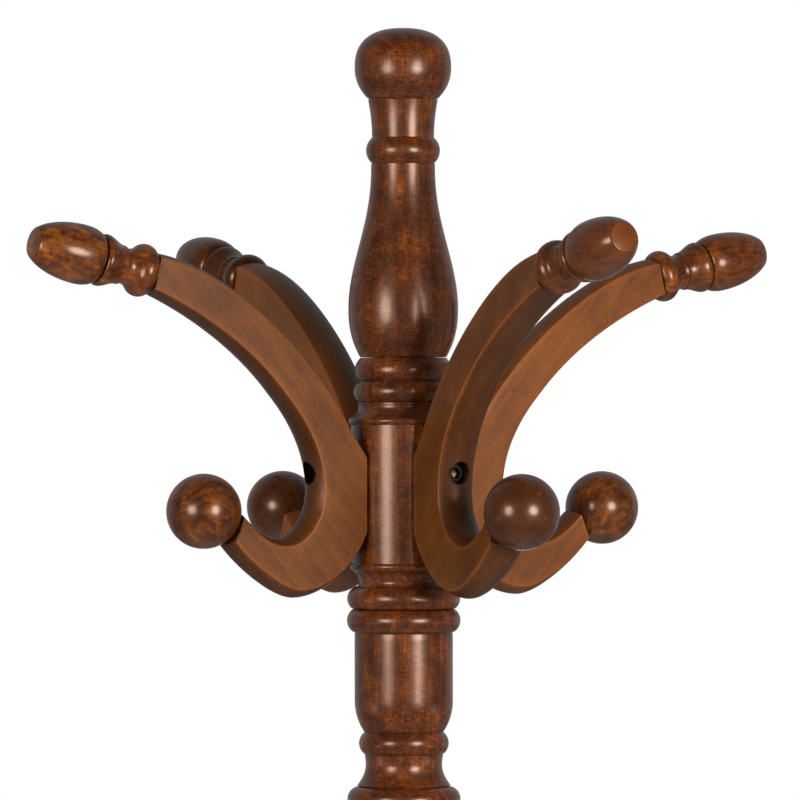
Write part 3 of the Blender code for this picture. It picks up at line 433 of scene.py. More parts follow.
turnedSteps = 144
slack = 0.3  # round pins and between pieces
joint = {"studRadius": 4.0, "studHalf": 22.0, "insertRadius": 6.0, "insertLength": 16.0, "radius": 20.9}
ring = {"height": 10.9, "groove": 25.0, "bulge": 3.5, "start": 22.1, "cove": 21.4}
hub = {"radius": 25.2, "lipBulge": 1.5, "lip": 4.2, "lipIn": 0.6, "cylinder": 66.2, "flare": 6.8,
       "flareBulge": -0.8}


def lowerMouth(points, low, radius):
    # the end face of a section and the blind bore for its stud
    bore = joint["studRadius"] + slack
    end = low + joint["studHalf"] + slack
    points += [(radius, low), (bore, low), (bore, end), (0.0, end)]
    return points


def upperMouth(high, radius):
    # the other end of a joint: a bore for the stud with a wider seat for the threaded insert
    bore = joint["studRadius"] + slack
    socket = joint["insertRadius"] + slack
    end = high - joint["studHalf"] - slack
    step = high - joint["insertLength"] - slack
    return [(0.0, end), (bore, end), (bore, step), (socket, step), (socket, high), (radius, high)]


def upperRing(points, level):
    # upper half of a double ring, with a fine step above it
    top = level + ring["height"]
    points += [(ring["start"] - 0.4, top + 0.5), (ring["start"], top)]
    arcTo(points, (ring["groove"], level + 0.25), ring["bulge"], 26)


def lowerRing(points, level, endRadius):
    # lower half of a double ring
    points.append((ring["groove"], level))
    arcTo(points, (endRadius, level - ring["height"]), ring["bulge"] - 0.5, 26)


finialSizes = {"knob": 23.2, "rise": 19.3, "drop": 21.05, "domePower": 0.8, "knobEnd": 17.2, "neckTop": 16.6,
               "neckLow": 14.9, "neck": 17.9, "neckBulge": -0.45, "bead": 11.8, "beadBulge": 2.55,
               "waist": 15.35, "belly": 26.35, "bellySkew": 1.131, "foot": 23.3, "footPower": 2.35}


def finialPoints(low, high):
    s = finialSizes
    middle = high - s["rise"]
    turn = np.linspace(math.pi / 2, 0, 40)[1:]
    points = [(0.0, high)]
    domeHeight = middle + s["rise"] * np.sin(turn) ** s["domePower"]
    addRows(points, s["knob"] * np.cos(turn) ** s["domePower"], domeHeight)
    turn = np.linspace(0, math.acos(s["knobEnd"] / s["knob"]), 20)[1:]
    addRows(points, s["knob"] * np.cos(turn), middle - s["drop"] * np.sin(turn))
    stepTo(points, s["neckTop"] - 0.2, 0.6)
    stepTo(points, s["neckTop"] + 0.1, 0.7)
    beadTo(points, s["neckLow"], s["neck"], s["neckBulge"], 20)
    stepTo(points, s["neckLow"] + 0.25, 0.15)
    beadTo(points, s["waist"] - 0.1, s["bead"], s["beadBulge"], 26)
    stepTo(points, s["waist"] - 0.35, 0.35)
    stepTo(points, s["waist"], 0.45)
    swellTo(points, (s["belly"], low + s["foot"]), s["bellySkew"], 60)
    taperTo(points, (joint["radius"] + 0.1, low + 0.5), s["footPower"], 30)
    return lowerMouth(points, low, joint["radius"] - 0.3)


# each bead and the flare: the radius at its foot, how far it falls and its bulge; the line: radius and fall
collar = {"beads": ((21.4, 10.0, 1.95), (21.6, 10.4, 2.55)),
          "line": ((21.9, 0.35), (21.95, 1.1), (21.6, 1.5)),
          "flare": (23.9, 6.3, -0.7), "lipTop": (24.5, 6.9), "lipFoot": 10.9}


def hubRings(points):
    # two beads of the collar, the fine line under them, the flare and the thin lip
    for radius, fall, bulge in collar["beads"]:
        beadTo(points, radius, fall, bulge, 26)
    top = points[-1][1]
    points += [(radius, top - fall) for radius, fall in collar["line"]]
    radius, fall, bulge = collar["flare"]
    arcTo(points, (radius, top - fall), bulge, 12)
    radius, fall = collar["lipTop"]
    points.append((radius, top - fall))
    arcTo(points, (hub["radius"], top - collar["lipFoot"]), hub["lipBulge"], 18)


def hookHubPoints(low, high):
    points = upperMouth(high, joint["radius"] - 0.3)
    points += [(21.0, high - 0.35), (21.35, high - 0.9)]
    hubRings(points)
    cylinderEnd = points[-1][1] - hub["cylinder"]
    down(points, points[-1][1] - cylinderEnd, hub["radius"], 8)
    arcTo(points, (hub["radius"] - 0.2, cylinderEnd - 3.4), 0.85, 12)
    arcTo(points, (ring["cove"], cylinderEnd - 9.2), -0.9, 12)
    upperRing(points, low)
    return lowerMouth(points, low, ring["groove"] - 0.5)


urn = {"radius": 23.6, "straight": 32.2, "foot": 15.4, "footRadius": 19.0, "bead": 10.6, "beadBulge": 2.5,
       "neck": 18.3, "neckHeight": 14.9, "cup": 22.4}
column = {"slim": 17.2, "wide": 24.5, "shoulder": 40.0}


def upperPostPoints(low, high):
    points = upperMouth(high, ring["groove"] - 0.5)
    lowerRing(points, high - 0.3, urn["radius"] - 0.1)
    stepTo(points, urn["radius"], 0.4)
    down(points, urn["straight"] - 0.4, urn["radius"], 10)
    taperTo(points, (urn["footRadius"], points[-1][1] - urn["foot"]), 2.2, 24)
    stepTo(points, urn["footRadius"] + 0.2, 0.3)
    beadTo(points, urn["footRadius"] - 0.1, urn["bead"] - 0.3, urn["beadBulge"], 26)
    beadTo(points, urn["neck"], urn["neckHeight"] / 3, -0.1, 10)
    taperTo(points, (urn["cup"], points[-1][1] - urn["neckHeight"] * 2 / 3), 1.9, 20)
    level = points[-1][1] - 0.6 - ring["height"]
    upperRing(points, level)
    lowerRing(points, level, urn["radius"] - 0.1)
    swellTo(points, (column["slim"], points[-1][1] - column["shoulder"]), 0.8, 40)
    widest = low + ring["height"] + column["shoulder"] * 2
    swellTo(points, (column["wide"], widest), 1.25, 80)
    taperTo(points, (ring["cove"], low + ring["height"] + 0.6), 2.2, 40)
    upperRing(points, low)
    return lowerMouth(points, low, ring["groove"] - 0.5)


def lowerPostPoints(low, high):
    points = upperMouth(high, ring["groove"] - 0.5)
    lowerRing(points, high - 0.3, ring["cove"])
    swellTo(points, (column["wide"], points[-1][1] - column["shoulder"] * 2), 0.7, 50)
    swellTo(points, (column["slim"], low + ring["height"] + column["shoulder"]), 0.85, 80)
    swellTo(points, (ring["cove"], low + ring["height"] + 0.6), 1.3, 40)
    upperRing(points, low)
    return lowerMouth(points, low, ring["groove"] - 0.5)


# fractions of the drop's radius: at its neck, where its bowl starts, and how high up the bowl is widest
dropSizes = {"tenon": 8.0, "tenonLength": 20.0, "bevel": 0.6, "radius": 19.0, "ring": 10.9, "ringBulge": 2.8,
             "neck": 9.3, "neckBulge": -2.0, "neckShare": 0.62, "bowlShare": 0.72, "widest": 0.38}


def legHubPoints(low, high):
    points = upperMouth(high, ring["groove"] - 0.5)
    lowerRing(points, high - 0.3, ring["cove"])
    rim = hub["radius"] - hub["lipIn"]
    beadTo(points, rim, hub["flare"], hub["flareBulge"], 12)
    beadTo(points, hub["radius"], hub["lip"], hub["lipBulge"], 16)
    down(points, points[-1][1] - (low + hub["flare"] + hub["lip"]), hub["radius"], 10)
    arcTo(points, (rim, low + hub["flare"]), hub["lipBulge"], 16)
    arcTo(points, (ring["cove"], low), hub["flareBulge"], 12)
    socket = dropSizes["tenon"] + slack
    end = low + dropSizes["tenonLength"] + slack
    points += [(socket, low), (socket, end), (0.0, end)]
    return points


def dropPoints(low, high):
    # high is the top of the tenon; the turned part hangs below the hub
    s = dropSizes
    top = high - s["tenonLength"]
    wide = s["radius"]
    points = [(0.0, high), (s["tenon"] - s["bevel"], high), (s["tenon"], high - s["bevel"]),
              (s["tenon"], top), (ring["cove"] - 1.0, top)]
    arcTo(points, (ring["cove"] - 2.0, top - s["ring"]), s["ringBulge"], 24)
    beadTo(points, wide * s["neckShare"], s["neck"], s["neckBulge"], 20)
    bowlTop = points[-1][1]
    neck = bowlTop - 1.0
    points.append((wide * s["bowlShare"], neck))
    widest = bowlTop - (bowlTop - low) * s["widest"]
    turn = np.linspace(0, math.pi / 2, 20)[1:]
    bowl = wide * (s["bowlShare"] + (1 - s["bowlShare"]) * np.sin(turn))
    addRows(points, bowl, widest + (neck - widest) * np.cos(turn))
    turn = np.linspace(0, math.pi / 2, 32)[1:-1]
    addRows(points, wide * np.cos(turn) ** 0.9, widest - (widest - low) * np.sin(turn))
    points.append((0.0, low))
    return points


def turnedPiece(name, node, points, pith, cutters=(), material=postWood):
    # one section of the post; pith is where the centre of the growth rings passes, in mm from the axis
    vertices, faces = turnedGrid(points, turnedSteps)
    obj = meshObject(name, vertices, faces)
    if cutters:
        cutWith(obj, cutters)
    placed = vertexArray(obj.data) / mm
    profile = np.array(points)
    order = np.argsort(profile[:, 1])
    # painted shade, together with stain that gathers: the grooves and hollows are painted darker the deeper
    # they lie below their crests
    hollow = hollowness(points)
    storePoints(obj, "stainAndShade", np.interp(placed[:, 2], profile[order, 1], hollow[order]))
    storePoints(obj, "grain", placed + np.array(pith))
    storePoints(obj, "figure", np.ones(len(placed)))
    settle(obj, [node], material)


armTurns = (0.0, -3.0, 3.0, 0.0)  # degrees that each arm stands off its right angle
noTurns = (0.0, 0.0, 0.0, 0.0)


def aroundPost(index, turns=noTurns):
    # the first arm and leg point along -Y, the next along +X
    return Matrix.Rotation(math.radians(index * 90.0 - 90.0 + turns[index]), 4, "Z")


armCount = 4
boltRadius = 3.0
fixing = {"insertRadius": 4.5, "insertSink": 1.5, "insertLength": 12.0, "dowelRadius": 4.0, "dowelHalf": 12.0,
          "dowelBelow": 20.0, "seat": 16.5, "headRadius": 5.0, "headHeight": 6.0}
seat = hub["radius"] + slack  # the flat backs of arms and legs


def hubBores(level, turns):
    # the radial bores for the inserts and dowels
    made = []
    for index in range(armCount):
        out = hub["radius"] + 4
        insertIn = hub["radius"] - fixing["insertSink"] - fixing["insertLength"] - 2 * slack
        dowelIn = hub["radius"] - fixing["dowelHalf"] - slack
        for radius, inner, height in ((fixing["insertRadius"], insertIn, level),
                                      (fixing["dowelRadius"], dowelIn, level - fixing["dowelBelow"])):
            bore = [(0, out), (radius + slack, out), (radius + slack, inner), (0, inner)]
            where = Matrix.Translation((0, 0, height)) @ aroundPost(index, turns) @ layDown()
            made.append(rodCutter("bore", bore, where, 32))
    return made


def middleOf(node):
    low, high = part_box(node)
    return (low + high) / 2 / mm


armLevel = middleOf("arm_bolt_1").z
legLevel = middleOf("leg_bolt_1").z
turnedPiece("finialTurned", "top_finial", finialPoints(*nodeSpan("top_finial")), (31, 12, 0))
hookHub = hookHubPoints(*nodeSpan("hook_hub"))
turnedPiece("hookHubTurned", "hook_hub", hookHub, (26, -22, 400), hubBores(armLevel, armTurns))
turnedPiece("upperPostTurned", "upper_post", upperPostPoints(*nodeSpan("upper_post")), (-28, 19, 90))
turnedPiece("lowerPostTurned", "lower_post", lowerPostPoints(*nodeSpan("lower_post")), (24, 27, 700))
legHub = legHubPoints(*nodeSpan("leg_hub"))
turnedPiece("legHubTurned", "leg_hub", legHub, (-30, -14, 260), hubBores(legLevel, noTurns))
drop = dropPoints(*nodeSpan("bottom_drop"))
turnedPiece("dropTurned", "bottom_drop", drop, (14, 9, 30), (), knobWood)
print("post turned")


# Hook arms. u is the distance from the post's axis and v the height above the bolt, in mm.

def cubic(start, leave, arrive, end, count):
    # points along a cubic curve with two handles, both ends included
    t = np.linspace(0, 1, count)[:, None]
    s = 1 - t
    a, b, c, d = (np.array(p, float) for p in (start, leave, arrive, end))
    return s**3 * a + 3 * s * s * t * b + 3 * s * t * t * c + t**3 * d


def joinRuns(runs):
    # runs of points that share their ends, as one
    return np.vstack([runs[0]] + [run[1:] for run in runs[1:]])


def lengthAlong(path):
    return np.concatenate([[0], np.cumsum(np.linalg.norm(np.diff(path, axis=0), axis=1))])


def pointAt(path, along, where):
    return np.column_stack([np.interp(where, along, path[:, 0]), np.interp(where, along, path[:, 1])])


def heading(degrees):
    return np.array([math.cos(math.radians(degrees)), math.sin(math.radians(degrees))])


def acrossPath(path):
    # unit normals to the left of the path, smoothed over its points
    along = np.gradient(path, axis=0)
    along /= np.linalg.norm(along, axis=1)[:, None] + 1e-12
    return np.column_stack([-along[:, 1], along[:, 0]])


def crownSection(half, sag, edge, rows):
    # One crowned face from side to side: y across the thickness and how far each row is sunk below the
    # crest. The crown is a parabola that is sunk by sag where the rounded edge begins, and the edge is a
    # quarter round that starts at the parabola's slope and ends flat on the side.
    slope = math.atan2(2 * sag, half)
    start = half - edge + edge * math.sin(slope)
    crown = np.linspace(-start, start, rows)
    sunk = sag * (crown / start) ** 2
    turn = np.linspace(slope, math.pi / 2, 7)[1:]
    roundY = half - edge + edge * np.sin(turn)
    roundSunk = sag + edge * math.cos(slope) - edge * np.cos(turn)
    y = np.concatenate([-roundY[::-1], crown, roundY])
    depth = np.concatenate([roundSunk[::-1], sunk, roundSunk])
    return y, depth


def crownedStrip(outer, inner, half, outerSag, innerSag, outerEdge, innerEdge, rows=13, sideRows=5):
    # A strip of wood whose two curved faces are crowned and whose sides are flat. Each station has a loop
    # of points: over the outer face, down one side, over the inner face and up the other side. Also
    # returned for each point: how much of an edge it is.
    outward = acrossPath(outer)
    inward = acrossPath(inner)
    if np.mean(np.sum(outward * (outer - inner), axis=1)) < 0:
        outward = -outward
    if np.mean(np.sum(inward * (inner - outer), axis=1)) < 0:
        inward = -inward
    loops = []
    for k in range(len(outer)):
        y1, sunk1 = crownSection(half, outerSag[k], outerEdge[k], rows)
        y2, sunk2 = crownSection(half, innerSag[k], innerEdge[k], rows)
        top = outer[k] - outward[k] * sunk1[:, None]
        low = inner[k] - inward[k] * sunk2[:, None]
        share = np.linspace(0, 1, sideRows + 2)[1:-1, None]
        right = top[-1] * (1 - share) + low[-1] * share
        left = low[0] * (1 - share) + top[0] * share
        plane = np.vstack([top, right, low[::-1], left])
        y = np.concatenate([y1, np.full(sideRows, half), y2[::-1], np.full(sideRows, -half)])
        loops.append(np.column_stack([plane[:, 0], y, plane[:, 1]]))
    wornAndLit = np.tile(np.concatenate([edgeWearAndHighlightMark(rows), np.zeros(sideRows)]), 2 * len(loops))
    size = len(loops[0])
    vertices = np.vstack(loops)
    faces = gridFaces(len(loops), size, True)
    caps = [list(range(size)), list(range(len(vertices) - size, len(vertices)))[::-1]]
    # the signed volume tells whether the faces look outward
    a, b, c, d = (vertices[faces[:, corner]] for corner in range(4))
    if np.sum(a * np.cross(b, c)) + np.sum(a * np.cross(c, d)) < 0:
        faces = faces[:, ::-1]
        caps = [cap[::-1] for cap in caps]
    return vertices, faces.tolist() + caps, wornAndLit


def edgeWearAndHighlightMark(rows):
    # 1 on the rounded edges, falling to 0 on the crown: where the lacquer wears, and where a painted
    # highlight runs along the arrises
    rounded = np.array([0.25, 0.7, 1.0, 1.0, 0.7, 0.3])
    return np.concatenate([rounded, np.zeros(rows), rounded[::-1]])


armSizes = {
    "half": 9.5, "back": seat, "seatAbove": 7.0, "seatBelow": 27.6, "waistDepth": 27.0, "waistBelow": 7.6,
    "tip": (138.0, 94.5), "tipTilt": 12.5, "tipDepth": 19.0,
    "ballEnd": (94.5, -26.2), "ballTilt": 30.5, "ballDepth": 16.6,
    "floor": (68.5, -30.4), "lowest": (61.5, -59.2), "edge": 1.0, "seatEdge": 0.4, "seatMargin": 3.0,
}
# handles of the curves of the side view; single numbers are how far a handle stands from its end of the
# curve
armHandles = {
    "over": ((94.3, 98.0), (39.1, 46.6)), "under": ((26.2, -42.1), (44.0, -59.2)),
    "rising": ((70.9, -59.2), (90.5, -44.8)), "below": (90.2, 64.5), "waistAbove": 35.5, "waistBelow": 11.0,
    "floorIn": 8.0, "floorOut": 9.0, "ballIn": 9.0, "ballTurn": 43.0,
}
# how far the crowns are sunk at their edges, in mm, from the tip to the ball end
armCrowns = {
    "outer": (2.3, 2.5, 0.0, 0.0, 2.4, 3.6, 2.2), "aboveSeat": 14.0, "belowSeat": 16.0,
    "inner": (1.3, 1.4, 3.2, 4.2, 4.0, 2.6), "innerStops": (0.0, 0.45, 0.62, 0.76, 0.88, 1.0),
    "seatShift": 3.0, "lowestShift": 1.0,
}


def armRuns():
    # The two long edges of the side view from the tip to the ball end: over the back, down the flat seat and
    # round the crook; and along the underside, down the waist and through the crook.
    s, h = armSizes, armHandles
    tip, end = np.array(s["tip"]), np.array(s["ballEnd"])
    tipUp, ballUp = heading(s["tipTilt"] + 90), heading(s["ballTilt"] + 90)
    tipTop, tipUnder = tip + tipUp * s["tipDepth"] / 2, tip - tipUp * s["tipDepth"] / 2
    ballInner, ballOuter = end + ballUp * s["ballDepth"] / 2, end - ballUp * s["ballDepth"] / 2
    seatTop, seatLow = np.array([s["back"], s["seatAbove"]]), np.array([s["back"], -s["seatBelow"]])
    lowest, floor = np.array(s["lowest"]), np.array(s["floor"])
    waist = np.array([s["back"] + s["waistDepth"], -s["waistBelow"]])
    over = cubic(tipTop, *h["over"], seatTop, 90)
    flat = np.linspace(seatTop, seatLow, 16)
    under = cubic(seatLow, *h["under"], lowest, 40)
    rising = cubic(lowest, *h["rising"], ballOuter, 34)
    below = cubic(tipUnder, h["below"], waist + (0, h["waistAbove"]), waist, 100)
    dip = cubic(waist, waist - (0, h["waistBelow"]), floor - (h["floorIn"], 0), floor, 40)
    arrive = ballInner - heading(h["ballTurn"]) * h["ballIn"]
    lift = cubic(floor, floor + (h["floorOut"], 0), arrive, ballInner, 30)
    return [over, flat, under, rising], joinRuns([below, dip, lift])


def armStrip():
    outerRuns, inner = armRuns()
    along = lengthAlong(inner)
    outer = joinRuns(outerRuns)
    # each key point of the outer edge is paired with the nearest one of the inner edge
    keys = [0.0]
    for run in outerRuns[:-1]:
        keys.append(along[np.argmin(np.linalg.norm(inner - run[-1], axis=1))])
    keys[1] += armCrowns["seatShift"]
    keys[3] += armCrowns["lowestShift"]
    keys.append(along[-1])
    stations = [np.linspace(keys[i], keys[i + 1], len(run)) for i, run in enumerate(outerRuns)]
    where = np.concatenate([stations[0]] + [s[1:] for s in stations[1:]])
    paired = pointAt(inner, along, where)
    # the outer crown's stops: tip, before the seat, seat top, seat bottom, after the seat, lowest point,
    # ball end
    done = lengthAlong(outer)
    ends = np.cumsum([0] + [lengthAlong(run)[-1] for run in outerRuns])
    outerStops = [0, ends[1] - armCrowns["aboveSeat"], ends[1], ends[2], ends[2] + armCrowns["belowSeat"],
                  ends[3], ends[4]]
    outerSag = np.interp(done, outerStops, armCrowns["outer"])
    innerSag = np.interp(where, np.array(armCrowns["innerStops"]) * along[-1], armCrowns["inner"])
    edge = np.full(len(outer), armSizes["edge"])
    margin = armSizes["seatMargin"]
    outerEdge = np.where((done > ends[1] - margin) & (done < ends[2] + margin), armSizes["seatEdge"], edge)
    return crownedStrip(outer, paired, armSizes["half"], outerSag, innerSag, outerEdge, edge)


def nearestMarks(points, known, marks, reach=0.6):
    # after the Booleans the points are matched with the marks they had before
    tree = pointTree(known)
    found = [tree.find(Vector(p)) for p in points]
    return np.array([marks[index] if distance < reach else 0.0 for _, index, distance in found])


def pointTree(points):
    tree = KDTree(len(points))
    for index, point in enumerate(points):
        tree.insert(Vector(point), index)
    tree.balance()
    return tree


tipTenon = {"radius": 5.0, "length": 14.0}
ballTenon = {"radius": 4.0, "length": 12.0}


def tiltedSocket(at, degrees):
    # X runs outward along the tilted end of the arm, from the middle of its end face
    return Matrix.Translation((at[0], 0, at[1])) @ Matrix.Rotation(-math.radians(degrees), 4, "Y")


def boltHole(outermost):
    # a bore for the shank and a wider one, with a softened rim, that sinks the head
    head = fixing["headRadius"] + slack
    shoulder = seat + fixing["seat"]
    return [(0, outermost), (head, outermost), (head, shoulder), (boltRadius + slack, shoulder),
            (boltRadius + slack, seat - 4), (0, seat - 4)]


def dowelHole():
    radius = fixing["dowelRadius"] + slack
    end = seat + fixing["dowelHalf"] + slack
    return [(0, end), (radius, end), (radius, seat - 4), (0, seat - 4)]


def drilled(name, vertices, faces, holes):
    # the strip with its holes, as vertices and faces that every copy shares
    blank = meshObject(name, vertices, faces)
    cutWith(blank, [rodCutter("hole", points, matrix, 40) for points, matrix in holes])
    cut = vertexArray(blank.data) / mm
    polygons = [list(polygon.vertices) for polygon in blank.data.polygons]
    bpy.data.objects.remove(blank, do_unlink=True)
    return cut, polygons


def socketHole(tenon):
    radius = tenon["radius"] + slack
    return [(0, 4), (radius, 4), (radius, -tenon["length"] - slack), (0, -tenon["length"] - slack)]


armVertices, armFaces, armWornAndLit = armStrip()
armHoles = [
    (boltHole(seat + 40), layDown()),
    (dowelHole(), Matrix.Translation((0, 0, -fixing["dowelBelow"])) @ layDown()),
    (socketHole(tipTenon), tiltedSocket(armSizes["tip"], armSizes["tipTilt"]) @ layDown()),
    (socketHole(ballTenon), tiltedSocket(armSizes["ballEnd"], armSizes["ballTilt"]) @ layDown()),
]
armCut, armPolygons = drilled("armBlank", armVertices, armFaces, armHoles)
armWearAndHighlight = nearestMarks(armCut, armVertices, armWornAndLit)


def stripShade(points, holeLevel, half, tone):
    # Painted shade: darkest in the sunk bolt hole, and darker on the crowned faces than on the flat sides,
    # where the crowns also take a little more stain. A board's painted shade is added.
    # the sunk bolt hole is painted fully dark: painted shade
    inside = np.hypot(points[:, 1], points[:, 2] - holeLevel) < fixing["headRadius"] + slack + 0.1
    bored = inside & (points[:, 0] > seat + 4) & (points[:, 0] < seat + 40)
    crowned = np.clip((half - np.abs(points[:, 1])) / 2, 0, 1) * crownPaintedShade
    return np.where(bored, 1.0, crowned + max(tone, 0.0))


edgeWearAndHighlight = 0.42  # how much paler the rounded edges are painted: stain rubbed thin, and a painted highlight along the arrises
crownPaintedShade = 0.34  # how much painted shade darkens the crowned faces, with the little more stain they take
boardLightAndShade = (0.20, -0.10, -0.26, 0.22)  # painted light and shade for each board, for how the lamps fall on it: above 0 painted darker, below 0 paler
armBoards = ((18.0, -34.0, 120.0), (-22.0, 40.0, 520.0), (30.0, 28.0, 910.0), (-35.0, -26.0, 1330.0))
boardTilt = 52.0  # degrees between the grain and the arm's u direction


def boardGrain(points, board):
    # The board's grain runs up and outward, along the upper limb. Its thickness is the arm's own.
    turn = math.radians(boardTilt)
    along = points[:, 0] * math.cos(turn) + points[:, 2] * math.sin(turn)
    across = -points[:, 0] * math.sin(turn) + points[:, 2] * math.cos(turn)
    return np.column_stack([across + board[0], points[:, 1] + board[1], along + board[2]])


for index in range(armCount):
    where = Matrix.Translation((0, 0, armLevel)) @ aroundPost(index, armTurns)
    arm = meshObject("hookArmSawn" + str(index + 1), moved(armCut, where), armPolygons)
    storePoints(arm, "grain", boardGrain(armCut, armBoards[index]))
    storePoints(arm, "figure", np.ones(len(armCut)))
    # painted light: a board with a negative tone is painted paler, on top of the edges' wear and painted
    # highlight
    storePoints(arm, "wornAndLit", armWearAndHighlight * edgeWearAndHighlight + max(-boardLightAndShade[index], 0.0))
    # painted shade: the bolt hole, the crowned faces and a board with a positive tone are painted darker
    storePoints(arm, "stainAndShade", stripShade(armCut, 0.0, armSizes["half"], boardLightAndShade[index]))
    settle(arm, ["hook_arm_" + str(index + 1)], armWood)
print("arms shaped")


# Acorn tips and balls, turned about the arm's own tilted ends.

tenonBevel = 0.6


def tenonPoints(tenon):
    radius, length = tenon["radius"], tenon["length"]
    return [(radius, slack), (radius, tenonBevel - length), (radius - tenonBevel, -length), (0.0, -length)]


acornSizes = {"collar": 12.6, "collarWidth": 8.5, "neck": 8.4, "neckWidth": 6.9, "bead": 12.4,
              "beadWidth": 12.7, "crest": 2.8, "body": 14.05, "length": 33.5, "end": 7.0, "groove": 10.6,
              "widest": 0.27}


def acornPoints():
    # From the flat end back to the tenon; height runs outward from the arm's end face. The body is an
    # ellipse from its flat end to its widest place and a quarter ellipse from there to the groove.
    s = acornSizes
    collarEnd = slack + s["collarWidth"]
    neckEnd = collarEnd + s["neckWidth"]
    beadEnd = neckEnd + s["beadWidth"]
    end = beadEnd + s["length"]
    widest = beadEnd + s["length"] * s["widest"]
    start = math.asin(s["end"] / s["body"])
    turn = np.linspace(start, math.pi / 2, 36)
    points = [(0.0, end), (s["end"] - 0.35, end), (s["end"] - 0.08, end - 0.1)]
    fall = widest + (end - widest) * np.cos(turn) / math.cos(start)
    addRows(points, s["body"] * np.sin(turn[1:]), fall[1:])
    turn = np.linspace(0, math.pi / 2, 24)[1:]
    body = s["groove"] + (s["body"] - s["groove"]) * np.cos(turn)
    addRows(points, body, widest - (widest - beadEnd) * np.sin(turn))
    crest = beadEnd - s["crest"]
    points.append((s["groove"] - 0.3, beadEnd - 0.35))
    turn = np.linspace(math.pi / 2, 0, 14)
    bead = s["groove"] + (s["bead"] - s["groove"]) * np.cos(turn)
    addRows(points, bead, crest + (s["crest"] - 0.6) * np.sin(turn))
    swellTo(points, (s["neck"] + 0.9, neckEnd), 0.85, 24)
    points.append((s["neck"] + 0.4, neckEnd - 0.3))
    arcTo(points, (s["neck"] + 1.5, collarEnd + 0.7), -0.75, 18)
    points.append((s["collar"] - 2.6, collarEnd + 0.4))
    points.append((s["collar"] - 2.1, collarEnd))
    arcTo(points, (s["collar"] - 1.9, slack), 2.0, 18)
    return points + tenonPoints(tipTenon)


ballSizes = {"radius": 17.8, "offset": 16.4}  # offset: its centre from its flat, which lies on the arm's end


def ballPoints():
    radius, offset = ballSizes["radius"], ballSizes["offset"]
    centre = slack + offset
    turn = np.linspace(0, math.pi - math.acos(offset / radius), 56)
    points = np.column_stack([radius * np.sin(turn), centre + radius * np.cos(turn)]).tolist()
    points[0] = (0.0, centre + radius)
    return points + tenonPoints(ballTenon)


endWear = 0.14  # how much paler a flat end is rubbed


def endPieces(name, node, points, at, degrees, steps, woods):
    # One turned piece on the same end of each arm. Each piece's wood has its pith, the strength of its
    # figure and how much darker it took the stain. A flat end, sawn across the grain, is rubbed paler.
    vertices, faces = turnedGrid(points, steps)
    profile = np.array(points)
    order = np.argsort(profile[:, 1])
    # painted shade, together with stain that gathers: the grooves and hollows are painted darker the deeper
    # they lie below their crests
    stainAndShade = np.interp(vertices[:, 2], profile[order, 1], hollowness(points, 2.2)[order])
    top = vertices[:, 2].max()
    fromAxis = np.hypot(vertices[:, 0], vertices[:, 1])
    flatEnd = (vertices[:, 2] > top - 0.05) & (fromAxis < profile[:, 0].max() * 0.6)
    for index, (pith, figure, darker) in enumerate(woods):
        number = str(index + 1)
        around = aroundPost(index, armTurns)
        where = Matrix.Translation((0, 0, armLevel)) @ around @ tiltedSocket(at, degrees) @ layDown()
        piece = meshObject(name + number, moved(vertices, where), faces)
        storePoints(piece, "grain", vertices + np.array(pith))
        storePoints(piece, "figure", np.full(len(vertices), figure))
        storePoints(piece, "stainAndShade", np.clip(np.where(flatEnd, 0.0, np.maximum(stainAndShade, darker)), 0, 1))
        storePoints(piece, "wornAndLit", np.where(flatEnd & (profile[1, 1] == profile[0, 1]), endWear, 0.0))
        settle(piece, [node + number], knobWood)


acornWoods = (((9, 4, 30), 0.35, 0.0), ((-7, 8, 170), 0.9, 0.0), ((5, -9, 310), 0.5, 0.25),
              ((-8, -6, 480), 1.1, 0.0))
ballWoods = (((6, 10, 650), 0.3, 0.42), ((11, -5, 800), 1.0, 0.0), ((-9, 7, 960), 0.5, 0.2),
             ((8, 8, 1120), 1.2, 0.22))
endPieces("acornTurned", "acorn_tip_", acornPoints(), armSizes["tip"], armSizes["tipTilt"], 96, acornWoods)
endPieces("ballTurned", "hook_ball_", ballPoints(), armSizes["ballEnd"], armSizes["ballTilt"], 96, ballWoods)
print("tips and balls turned")


# Bolts with hexagon sockets.

boltSizes = {"across": 5.0, "socketDepth": 3.2, "chamfer": 0.5, "end": hub["radius"] - 13.5, "pitch": 1.0,
             "threadDepth": 0.3}


